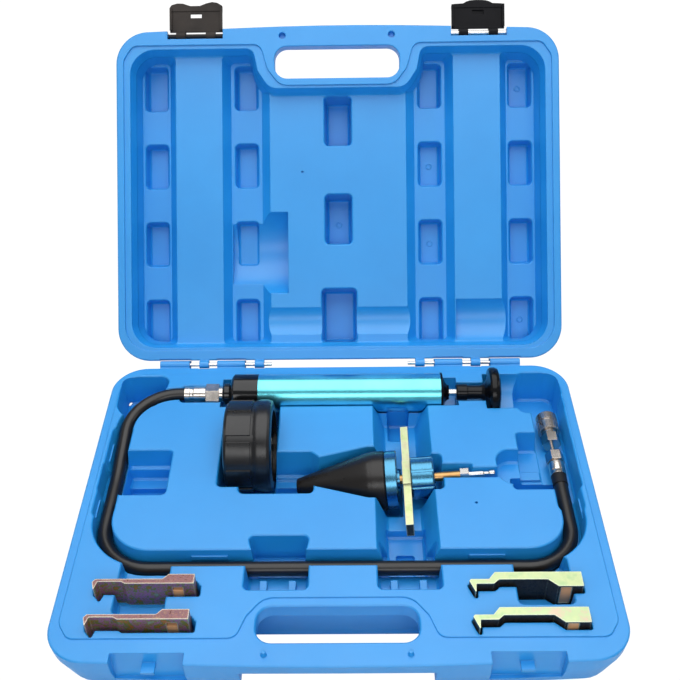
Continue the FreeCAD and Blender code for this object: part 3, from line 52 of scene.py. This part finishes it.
# ------------------------------------------------------------------ the case's own sizes, in mm
RIM = 45.0              # height of the base's rim
LID_H = 44.0            # lid, from its rim to its back
SIDE = 192.5            # half width of the case
FRONT = 146.0           # half depth of the case
CORNER_R = 28.0         # corner radius of the case, seen from above
BOW = 6.0               # how far the front edge is drawn back at its ends
HINGE = (149.6, 45.2)   # y and z of the hinge's axis
OPEN_ANGLE = 130.0      # turn of the lid from shut to open, in degrees
FLANGE = 7.0            # height of the band along the rim
SLOPE = 0.34            # how far the walls lean in, for each mm below the band
BACK_R = 12.0           # rounding between the walls and the back
GRIP_HALF = 64.0        # half width of the space under the grip
GRIP_THICK = 11.0       # thickness of one half of the grip
GRIP_LIP = (1.6, 4.0)   # how far the grip's front edge stands before FRONT, and how high that edge is
GRIP_RUN = 3.5          # how far behind FRONT the grip has its full thickness
CASE_HALVES = {         # depth, and how far back the space under the grip goes
    "case_base": (RIM, 90.7),
    "case_lid": (LID_H, 98.5),
}

# A cutter's faces stand clear of the case where they cut nothing.
WIDE = 25.0             # past the band on every side
ABOVE = 12.0            # past the rim, over the knuckles and pegs
BELOW = 1.0             # past the back
OUT = 20.0              # past the front, for the grip's space
DOWN = 2.0              # past the back, for the grip's space
SLACK = 0.02            # so that no wall of the hull lies in a wall of the case

RING_TURN = 8           # points on each corner of a ring
RING_FRONT = 9          # points along its bowed front edge
FRONT_SHARE = 0.8       # share of the straight front edge that those points span
WALL_RINGS = 3          # rings of a hull down its leaning wall
ROUND_RINGS = 8         # and round its back edge
ROUND_FROM = 0.12       # share of the quarter turn where the first of those stands

# Faces that meet at more than this many degrees keep a sharp edge between them.
CREASE = 32.0
FINE_CREASES = {"coupler_sleeve": 12.0, "swivel_nut": 20.0, "coupler_nut": 20.0, "stem_hex": 20.0}
WELD = 0.02 * MM        # distance at which a piece's loose corners are joined
FACE_WEIGHT = 90        # how much more a large face counts in a corner's normal

# ------------------------------------------------------------------ camera and light
CAMERA_AT = (12.5, -495.5, 605.7)       # in mm
CAMERA_TURN = (39.615, 1.044, -1.183)   # looking down, turned to the left, rolled, in degrees
LENS = 52.17                            # in mm, on a sensor 36 mm wide
SENSOR = 36.0
BACKDROP = 1.06                         # brightness of the white that the camera sees behind the object
SKY = (0.93, 0.96, 1.0, 1.0)            # faint cool light from all round
SKY_STRENGTH = 0.3
LIGHTS = (   # name, place, aim, size in metres and power in watts
    ("overhead_box", (0.0, 0.25, 1.45), (0.0, 0.15, 0.0), (1.6, 1.9), 21.0),
    ("front_box", (0.0, -1.05, 0.70), (0.0, 0.1, 0.03), (1.1, 0.42), 4.4),
    ("left_box", (-1.3, 0.1, 0.8), (0.0, 0.05, 0.0), (0.4, 0.6), 1.2),
    ("right_box", (1.3, 0.2, 0.9), (0.0, 0.05, 0.0), (0.4, 0.6), 1.2),
)
FLOOR_HALF = 4.0        # half width of the floor, in metres
FLOOR_ENDS = (-3.0, 2.0)   # its front edge and the foot of its rise
FLOOR_RISE = 1.5        # radius of the rise
FLOOR_BEND = 0.6        # where along the sheet, from 0 to 1, the rise starts
FLOOR_POINTS = (12, 40)   # across and along


def aim(obj, target):
    """Turns a light or camera so that its -Z looks from where it is to the target, with +Y upwards."""
    look = Vector(target) - obj.location
    obj.rotation_euler = look.to_track_quat("-Z", "Y").to_euler()


def make_camera():
    """Pinhole camera that looks down at the tray from the front."""
    down, left, roll = (math.radians(a) for a in CAMERA_TURN)
    data = bpy.data.cameras.new("camera")
    data.lens = LENS
    data.sensor_width = SENSOR
    data.clip_start = 0.01
    data.clip_end = 50.0
    camera = bpy.data.objects.new("camera", data)
    bpy.context.scene.collection.objects.link(camera)
    pitch = Matrix.Rotation(math.pi / 2 - down, 4, "X")
    turn = Matrix.Rotation(left, 4, "Z") @ pitch @ Matrix.Rotation(roll, 4, "Z")
    camera.matrix_world = Matrix.Translation(Vector(CAMERA_AT) * MM) @ turn
    bpy.context.scene.camera = camera


def area_light(name, place, target, size, power):
    """White rectangular soft box that looks at a target."""
    data = bpy.data.lights.new(name, "AREA")
    data.shape = "RECTANGLE"
    data.size, data.size_y = size
    data.energy = power
    lamp = bpy.data.objects.new(name, data)
    bpy.context.scene.collection.objects.link(lamp)
    lamp.location = Vector(place)
    aim(lamp, target)


def seen_white(tree, shader, output):
    """Shows a surface or the world as plain white to the camera, and leaves its light as it is."""
    path = tree.nodes.new("ShaderNodeLightPath")
    white = tree.nodes.new("ShaderNodeEmission" if output.bl_idname == "ShaderNodeOutputMaterial"
                           else "ShaderNodeBackground")
    white.inputs["Color"].default_value = WHITE
    white.inputs["Strength"].default_value = BACKDROP
    mix = tree.nodes.new("ShaderNodeMixShader")
    tree.links.new(path.outputs["Is Camera Ray"], mix.inputs[0])
    tree.links.new(shader, mix.inputs[1])
    tree.links.new(white.outputs[0], mix.inputs[2])
    tree.links.new(mix.outputs[0], output.inputs["Surface"])


def make_light():
    """White studio: a big soft box overhead, strips that draw the highlights, and a pale surround."""
    world = bpy.data.worlds.new("studio")
    bpy.context.scene.world = world
    world.use_nodes = True
    background = world.node_tree.nodes["Background"]
    background.inputs["Color"].default_value = SKY
    background.inputs["Strength"].default_value = SKY_STRENGTH
    seen_white(world.node_tree, background.outputs[0], world.node_tree.nodes["World Output"])
    for light in LIGHTS:
        area_light(*light)
    bpy.context.scene.view_settings.view_transform = "Standard"


def make_floor():
    """White floor: flat along y, then a quarter round up, y = foot + R sin a and z = R (1 - cos a)."""
    front, foot = FLOOR_ENDS
    v = np.linspace(0.0, 1.0, FLOOR_POINTS[1])
    bend = (v - FLOOR_BEND) / (1.0 - FLOOR_BEND) * np.pi / 2
    flat = v < FLOOR_BEND
    y = np.where(flat, front + v / FLOOR_BEND * (foot - front), foot + FLOOR_RISE * np.sin(bend))
    z = np.where(flat, 0.0, FLOOR_RISE * (1.0 - np.cos(bend)))
    x = np.linspace(-FLOOR_HALF, FLOOR_HALF, FLOOR_POINTS[0])
    grid = np.stack(np.broadcast_arrays(x[:, None], y, z), axis=-1)
    floor = grid_mesh("floor", grid)
    material = finish_plain("floor_white", (0.85, 0.85, 0.85), 0.6)
    tree = material.node_tree
    seen_white(tree, tree.nodes["Principled BSDF"].outputs[0], tree.nodes["Material Output"])
    floor.data.materials.append(material)


# ------------------------------------------------------------------ mesh makers
def grid_mesh(name, grid, closed=False):
    """Quad mesh from points [u, v, xyz]; closed joins v's end to its start and caps both ends of u."""
    nu, nv = grid.shape[:2]
    index = np.arange(nu * nv).reshape(nu, nv)
    a = np.concatenate([index, index[:, :1]], axis=1) if closed else index
    quads = np.stack([a[:-1, :-1], a[1:, :-1], a[1:, 1:], a[:-1, 1:]], axis=-1).reshape(-1, 4)
    faces = quads.tolist()
    if closed:
        faces.append(index[0].tolist())
        faces.append(index[-1][::-1].tolist())
    mesh = bpy.data.meshes.new(name)
    mesh.from_pydata(grid.reshape(-1, 3).tolist(), [], faces)
    mesh.update()
    obj = bpy.data.objects.new(name, mesh)
    bpy.context.scene.collection.objects.link(obj)
    return obj


def smooth(obj, angle):
    """Smooth shading with creases where faces meet at more than the angle."""
    obj.data.polygons.foreach_set("use_smooth", np.ones(len(obj.data.polygons), dtype=bool))
    obj.data.set_sharp_from_angle(angle=math.radians(angle))


def case_ring(inset, height):
    """Rounded rectangle with corner radius CORNER_R - inset; its front is drawn back by BOW (x / SIDE)^2."""
    r = max(CORNER_R - inset, 1.0)
    turn = np.linspace(0.0, np.pi / 2, RING_TURN) + np.arange(4)[:, None] * np.pi / 2
    way = np.array([(1, 1), (-1, 1), (-1, -1), (1, -1)])[:, None]
    x = way[..., 0] * (SIDE - inset - r) + r * np.cos(turn)
    y = way[..., 1] * (FRONT - inset - r) + r * np.sin(turn)
    front = 3 * RING_TURN
    x = np.insert(x.ravel(), front, np.linspace(-FRONT_SHARE, FRONT_SHARE, RING_FRONT) * (SIDE - inset - r))
    y = np.insert(y.ravel(), front, np.full(RING_FRONT, inset - FRONT))
    y = y + np.clip(-y / FRONT, 0.0, 1.0) * BOW * (x / SIDE) ** 2
    return np.stack([x, y, np.full_like(x, height)], axis=-1)


def wall_hull(depth):
    """Hull of a case half: walls leaning in by SLOPE below the band, then a quarter round of BACK_R."""
    round_start = depth - BACK_R
    quarter = np.linspace(ROUND_FROM, 1.0, ROUND_RINGS) * np.pi / 2
    low = np.concatenate([np.linspace(FLANGE, round_start, WALL_RINGS), round_start + BACK_R * np.sin(quarter)])
    fall = np.clip(low - depth + BACK_R, 0.0, BACK_R)
    inset = SLOPE * (low - FLANGE) + BACK_R - np.sqrt(BACK_R ** 2 - fall ** 2)
    rings = [case_ring(-WIDE, RIM + ABOVE), case_ring(-WIDE, RIM - FLANGE)]
    rings += [case_ring(i - SLACK, RIM - d) for i, d in zip(inset, low)]
    rings.append(case_ring(inset[-1], RIM - depth - BELOW))
    return np.stack(rings)


def grip_space(rear):
    """Space under the grip, back to y = -rear: a section in y and z, drawn straight along x."""
    lip, lip_height = GRIP_LIP
    section = np.array([(-FRONT - OUT, -DOWN), (-FRONT - OUT, RIM - lip_height),
                        (-FRONT - lip, RIM - lip_height), (-FRONT + GRIP_RUN, RIM - GRIP_THICK),
                        (-rear, RIM - GRIP_THICK), (-rear, -DOWN)])
    return np.stack([np.insert(section, 0, x, axis=1) for x in (-GRIP_HALF, GRIP_HALF)])


def opened(grid):
    """Points of the base moved to the open lid: z mirrored about the hinge, then (y, z) turned on it."""
    turn = math.radians(-OPEN_ANGLE)
    y, z = grid[..., 1] - HINGE[0], (2 * HINGE[1] - grid[..., 2]) - HINGE[1]
    return np.stack([grid[..., 0],
                     HINGE[0] + y * math.cos(turn) - z * math.sin(turn),
                     HINGE[1] + y * math.sin(turn) + z * math.cos(turn)], axis=-1)


def carve(obj, grid, operation):
    """Intersects or cuts a piece with a closed grid of points in mm, and keeps the result as its mesh."""
    cutter = grid_mesh("cutter", grid * MM, closed=True)
    edit = bmesh.new()
    edit.from_mesh(cutter.data)
    bmesh.ops.recalc_face_normals(edit, faces=edit.faces)
    edit.to_mesh(cutter.data)
    edit.free()
    cut = obj.modifiers.new("cut", "BOOLEAN")
    cut.object = cutter
    cut.operation = operation
    cut.solver = "EXACT"
    graph = bpy.context.evaluated_depsgraph_get()
    obj.data = bpy.data.meshes.new_from_object(obj.evaluated_get(graph))
    obj.modifiers.clear()
    bpy.data.objects.remove(cutter)


def carve_case(obj, node):
    """Gives a case half its leaning walls and rounded back, and room for fingers under its grip."""
    depth, rear = CASE_HALVES[node]
    for grid, operation in ((wall_hull(depth), "INTERSECT"), (grip_space(rear), "DIFFERENCE")):
        carve(obj, opened(grid) if node == "case_lid" else grid, operation)


def dress(node, material):
    """Replaces a CAD node by a welded, smoothly shaded copy in a finish."""
    mesh = NODES[node].data.copy()
    mesh.name = node + "_finished"
    for old in ("custom_normal", "sharp_face", "sharp_edge"):
        if old in mesh.attributes:
            mesh.attributes.remove(mesh.attributes[old])
    edit = bmesh.new()
    edit.from_mesh(mesh)
    bmesh.ops.remove_doubles(edit, verts=edit.verts, dist=WELD)
    edit.to_mesh(mesh)
    edit.free()
    mesh.materials.clear()
    mesh.materials.append(material)
    obj = bpy.data.objects.new(node + "_finished", mesh)
    bpy.context.scene.collection.objects.link(obj)
    if node in CASE_HALVES:
        carve_case(obj, node)
    smooth(obj, FINE_CREASES.get(node, CREASE))
    even = obj.modifiers.new("even_normals", "WEIGHTED_NORMAL")
    even.keep_sharp = True
    even.weight = FACE_WEIGHT
    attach(obj, BODY_OF[node])
    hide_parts(node)


# ------------------------------------------------------------------ finishes
CASE_EDGE = 0.0009      # soft edges of the blow-moulded case, in metres
PLASTIC_EDGE = 0.0004
METAL_EDGE = 0.0003
EDGE_HIGHLIGHT_WIDTH = 0.0018      # width of the painted bright highlight along the edges of the plated pieces
PEEL_DEPTH = 0.00006    # orange peel of the case, in metres
LINE_DEPTH = 0.00001    # tool lines in metal
PLATE_DEPTH = 0.00004   # roughness of the plating
BUMP = 0.5              # strength of those


class Nodes:
    """Short way to build a material's nodes."""

    def __init__(self, name):
        self.material = bpy.data.materials.new(name)
        self.material.use_nodes = True
        self.tree = self.material.node_tree
        self.shader = self.tree.nodes["Principled BSDF"]
        self.place = self.node("ShaderNodeTexCoord").outputs["Object"]

    def node(self, kind, **values):
        """New node with its properties set."""
        made = self.tree.nodes.new(kind)
        for key, value in values.items():
            setattr(made, key, value)
        return made

    def link(self, a, b):
        """Link from one socket to another."""
        self.tree.links.new(a, b)

    def set(self, socket, value):
        """Constant on the shader's own socket."""
        self.shader.inputs[socket].default_value = value

    def mapped(self, scale):
        """Object coordinates scaled by a Mapping node."""
        mapping = self.node("ShaderNodeMapping")
        mapping.inputs["Scale"].default_value = scale
        self.link(self.place, mapping.inputs["Vector"])
        return mapping.outputs["Vector"]

    def noise(self, scale, detail=3.0, rough=0.55, vector=None):
        """Noise value in 0 to 1 on object coordinates, scale in cycles per metre."""
        made = self.node("ShaderNodeTexNoise")
        made.inputs["Scale"].default_value = scale
        made.inputs["Detail"].default_value = detail
        made.inputs["Roughness"].default_value = rough
        self.link(vector or self.place, made.inputs["Vector"])
        return made.outputs["Fac"]

    def ramp(self, value, stops):
        """Colour ramp through (position, colour) stops."""
        made = self.node("ShaderNodeValToRGB")
        ramp = made.color_ramp
        while len(ramp.elements) < len(stops):
            ramp.elements.new(0.5)
        for element, (position, color) in zip(ramp.elements, stops):
            element.position = position
            element.color = (*color, 1.0)
        self.link(value, made.inputs["Fac"])
        return made.outputs["Color"]

    def span(self, value, low, high):
        """Value of 0 to 1 moved to low to high."""
        made = self.node("ShaderNodeMapRange")
        made.inputs["To Min"].default_value = low
        made.inputs["To Max"].default_value = high
        self.link(value, made.inputs["Value"])
        return made.outputs["Result"]

    def bump(self, height, distance, strength, normal):
        """Bump of a height map on top of a normal, distance in metres."""
        made = self.node("ShaderNodeBump")
        made.inputs["Distance"].default_value = distance
        made.inputs["Strength"].default_value = strength
        self.link(height, made.inputs["Height"])
        self.link(normal, made.inputs["Normal"])
        return made.outputs["Normal"]

    def upward(self, low, high):
        """Mask of the faces that look up, 0 below low and 1 above high, on the piece's own normals."""
        coords = self.node("ShaderNodeTexCoord")
        parts = self.node("ShaderNodeSeparateXYZ")
        self.link(coords.outputs["Normal"], parts.inputs["Vector"])
        return self.between(parts.outputs["Z"], low, high)

    def between(self, value, low, high):
        """Value moved from low..high to 0..1 and held there."""
        made = self.node("ShaderNodeMapRange")
        made.inputs["From Min"].default_value = low
        made.inputs["From Max"].default_value = high
        self.link(value, made.inputs["Value"])
        return made.outputs["Result"]

    def edges(self, radius):
        """Mask of edges: 1 where a rounded normal and the true one have a dot product of 0.75, 0 at 0.97."""
        geometry = self.node("ShaderNodeNewGeometry")
        dot = self.node("ShaderNodeVectorMath", operation="DOT_PRODUCT")
        self.link(geometry.outputs["Normal"], dot.inputs[0])
        self.link(self.bevel(radius), dot.inputs[1])
        return self.between(dot.outputs["Value"], 0.97, 0.75)

    def mix(self, mask, a, b):
        """Colour a where the mask is 0 and b where it is 1; each is a socket or a plain colour."""
        made = self.node("ShaderNodeMix", data_type="RGBA")
        self.link(mask, made.inputs["Factor"])
        for socket, value in ((made.inputs[6], a), (made.inputs[7], b)):
            if isinstance(value, tuple):
                socket.default_value = (*value, 1.0)
            else:
                self.link(value, socket)
        return made.outputs[2]

    def bevel(self, radius):
        """Normal rounded over edges by a radius in metres."""
        made = self.node("ShaderNodeBevel", samples=6)
        made.inputs["Radius"].default_value = radius
        return made.outputs["Normal"]

    def done(self, color=None, rough=None, normal=None):
        """Links colour, roughness and normal to the shader."""
        for socket, value in (("Base Color", color), ("Roughness", rough), ("Normal", normal)):
            if value is not None:
                self.link(value, self.shader.inputs[socket])
        return self.material


def finish_plain(name, color, rough):
    """Stage surface with a trace of mottling."""
    n = Nodes(name)
    n.set("Roughness", rough)
    c = tuple(v * 0.98 for v in color)
    return n.done(color=n.ramp(n.noise(3.0), [(0.3, c), (0.7, color)]))


def finish_case():
    """Blow-moulded blue polyethylene: fine orange peel, faint flow mottling, soft edges."""
    n = Nodes("case_blue")
    mottle = n.noise(14.0, 4.0)
    color = n.ramp(mottle, [(0.25, (0.009, 0.285, 0.730)), (0.75, (0.014, 0.320, 0.790))])
    rough = n.span(n.noise(60.0, 3.0), 0.34, 0.45)
    peel = n.bump(n.noise(900.0, 3.0, 0.6), PEEL_DEPTH, BUMP, n.bevel(CASE_EDGE))
    n.set("Specular IOR Level", 0.8)
    return n.done(color, rough, peel)


def finish_plastic(name, color, low, high, grain, depth, dark=0.75, level=0.5):
    """Moulded plastic or rubber: roughness range, grain in cycles per metre and its depth in metres."""
    n = Nodes(name)
    deep = tuple(v * dark for v in color)
    tint = n.ramp(n.noise(35.0, 4.0), [(0.3, deep), (0.7, color)])
    rough = n.span(n.noise(120.0, 3.0), low, high)
    n.set("Specular IOR Level", level)
    return n.done(tint, rough, n.bump(n.noise(grain, 3.0), depth, 0.6, n.bevel(PLASTIC_EDGE)))


def finish_metal(name, color, low, high, stretch, lines, shade=0.85, coat=0.0):
    """Metal with fine tool lines along one way: stretch scales the line noise on each axis."""
    n = Nodes(name)
    n.set("Metallic", 1.0)
    n.set("Coat Weight", coat)
    n.set("Coat Roughness", 0.22)
    dull = tuple(v * shade for v in color)
    tint = n.ramp(n.noise(70.0, 4.0), [(0.3, dull), (0.7, color)])
    line = n.noise(lines, 2.0, 0.6, n.mapped(stretch))
    rough = n.span(line, low, high)
    return n.done(tint, rough, n.bump(line, LINE_DEPTH, BUMP, n.bevel(METAL_EDGE)))


def finish_zinc(name, low, high, tops, side_tints_and_shade, edge_highlight, cloud=60.0, grain=250.0):
    """Iridescent zinc plating: cloudy colours on faces that look up, mottled side colours on the rest (near
    black painted shade on the yellow and green pieces) and a painted bright highlight along the edges.
    """
    n = Nodes(name)
    n.set("Metallic", 0.6)
    top = n.ramp(n.noise(cloud, 5.0, 0.65), spread(tops))
    # side colours go on the faces that don't look up; on the yellow and green plating they are near black,
    # painted shade
    side_tint_and_shade = n.ramp(n.noise(grain, 5.0, 0.7), spread(side_tints_and_shade))
    # painted highlight: a bright colour laid along every edge
    tint = n.mix(n.edges(EDGE_HIGHLIGHT_WIDTH), n.mix(n.upward(0.4, 0.6), side_tint_and_shade, top), edge_highlight)
    rough = n.span(n.noise(260.0, 4.0), low, high)
    return n.done(tint, rough, n.bump(n.noise(700.0, 4.0), PLATE_DEPTH, BUMP, n.bevel(METAL_EDGE)))


def spread(colors):
    """Colour stops spread over the middle of a noise's range."""
    return [(0.36 + 0.28 * k / (len(colors) - 1), c) for k, c in enumerate(colors)]


def finish_glass():
    """Clear acrylic window."""
    n = Nodes("clear_window")
    n.set("Transmission Weight", 1.0)
    n.set("Roughness", 0.02)
    n.set("IOR", 1.46)
    n.set("Base Color", (0.98, 0.99, 1.0, 1.0))
    return n.material


CASE = finish_case()
LATCH_DARK = finish_plastic("latch_black", (0.005, 0.005, 0.007), 0.35, 0.5, 700.0, 0.00002, level=0.12)
LATCH_WORN = finish_plastic("latch_brown_black", (0.036, 0.027, 0.022), 0.45, 0.65, 500.0, 0.00004,
                            dark=0.4, level=0.3)
BLACK_MATT = finish_plastic("black_matt", (0.010, 0.010, 0.012), 0.42, 0.6, 700.0, 0.00003, level=0.3)
BLACK_GLOSS = finish_plastic("nylon_black", (0.004, 0.004, 0.005), 0.10, 0.18, 400.0, 0.00001, level=0.45)
KNOB = finish_plastic("knob_black", (0.004, 0.004, 0.005), 0.14, 0.22, 400.0, 0.00001, level=0.22)
CAP = finish_plastic("cap_black", (0.004, 0.004, 0.005), 0.2, 0.3, 400.0, 0.00001, level=0.06)
SEAL = finish_plastic("seal_black", (0.011, 0.009, 0.008), 0.22, 0.36, 900.0, 0.00003, level=0.4)
BOOT = finish_plastic("boot_black", (0.007, 0.007, 0.008), 0.24, 0.34, 800.0, 0.00002)
HOSE = finish_plastic("hose_black", (0.010, 0.008, 0.007), 0.24, 0.36, 600.0, 0.00002)
DIAL = finish_plastic("dial_white", (0.85, 0.85, 0.83), 0.45, 0.55, 300.0, 0.000005)
COPPER = finish_plastic("copper", (0.90, 0.47, 0.22), 0.35, 0.5, 500.0, 0.00003, level=0.4)
GLASS = finish_glass()

AQUA = finish_metal("barrel_aqua", (0.13, 0.72, 0.84), 0.2, 0.3, (0.05, 8.0, 8.0), 300.0, coat=1.0)
ANODISED = finish_metal("anodised_blue", (0.055, 0.26, 0.43), 0.2, 0.32, (5.0, 0.3, 0.3), 700.0, coat=0.7)
NICKEL = finish_metal("nickel", (0.78, 0.72, 0.66), 0.10, 0.26, (3.0, 1.0, 1.0), 800.0, shade=0.5)
STEEL = finish_metal("bright_steel", (0.85, 0.82, 0.78), 0.12, 0.26, (4.0, 1.0, 1.0), 800.0, shade=0.65)
BRASS = finish_metal("brass", (0.70, 0.39, 0.15), 0.26, 0.4, (4.0, 1.0, 1.0), 900.0, shade=0.6)

ZINC = finish_zinc(
    "yellow_zinc", 0.32, 0.46,
    tops=[(0.62, 0.70, 0.30), (0.74, 0.78, 0.42), (0.70, 0.64, 0.40)],
    # near black side colours: painted shade
    side_tints_and_shade=[(0.03, 0.03, 0.03), (0.09, 0.08, 0.05)],
    # bright edge colour: a painted highlight
    edge_highlight=(0.80, 0.82, 0.60))
VIOLET = finish_zinc(
    "violet_zinc", 0.35, 0.55,
    tops=[(0.13, 0.05, 0.05), (0.34, 0.17, 0.15), (0.19, 0.09, 0.13), (0.38, 0.23, 0.15)],
    side_tints_and_shade=[(0.62, 0.18, 0.05), (0.18, 0.30, 0.03), (0.58, 0.18, 0.38), (0.36, 0.24, 0.04),
           (0.36, 0.44, 0.28)],
    # bright edge colour: a painted highlight
    edge_highlight=(0.98, 0.90, 0.68), cloud=520.0, grain=150.0)
GREEN = finish_zinc(
    "green_zinc", 0.34, 0.5,
    tops=[(0.46, 0.62, 0.32), (0.60, 0.68, 0.36), (0.54, 0.66, 0.36), (0.68, 0.54, 0.40)],
    # near black side colours: painted shade
    side_tints_and_shade=[(0.020, 0.018, 0.016), (0.060, 0.045, 0.035), (0.012, 0.012, 0.014)],
    # bright edge colour: a painted highlight
    edge_highlight=(0.84, 0.90, 0.66), cloud=34.0, grain=500.0)

NODE_FINISH = {
    # case
    "case_base": CASE, "case_lid": CASE,
    "hinge_pin_left": STEEL, "hinge_pin_right": STEEL,
    "latch_left": LATCH_WORN, "latch_right": LATCH_DARK,
    "latch_pin_left": BLACK_MATT, "latch_pin_right": STEEL,
    # pump
    "pump_barrel": AQUA, "pump_head": BLACK_GLOSS, "pump_end_cap": CAP, "check_valve_ball": STEEL,
    "piston_rod": STEEL, "pump_piston": BLACK_GLOSS, "piston_seal": SEAL, "piston_nut": STEEL,
    "pump_knob": KNOB,
    # gauge
    "gauge_boot": BOOT, "gauge_case": BLACK_GLOSS, "gauge_stem": BRASS, "gauge_movement": BRASS,
    "gauge_bourdon_tube": BRASS, "gauge_dial": DIAL, "gauge_bezel": BLACK_GLOSS, "gauge_lens": GLASS,
    "gauge_pointer": BLACK_MATT,
    # hose and coupler
    "swivel_nut": NICKEL, "hose_ferrule": NICKEL, "pressure_hose": HOSE, "hose_end_sleeve": BLACK_MATT,
    "coupler_ferrule": NICKEL, "coupler_nut": NICKEL, "coupler_stem": NICKEL, "coupler_collar": NICKEL,
    "coupler_body": NICKEL, "coupler_sleeve": NICKEL,
    # filler neck adapter
    "cone_seal": SEAL, "threaded_stem": BRASS, "pressure_disc": ANODISED, "stem_collar": ANODISED,
    "clamp_bar": ZINC, "knurled_nut": ANODISED, "stem_hex": STEEL, "connector_nipple": STEEL,
    # claws
    "claw_rear_left": VIOLET, "claw_front_left": VIOLET,
    "claw_rear_right": GREEN, "claw_front_right": GREEN,
    "claw_insert_rear_left": COPPER, "claw_insert_front_left": COPPER,
    "claw_insert_rear_right": COPPER, "claw_insert_front_right": COPPER,
}


def main():
    """Builds the stage and dresses every piece."""
    make_camera()
    make_light()
    make_floor()
    for node, material in NODE_FINISH.items():
        dress(node, material)


main()
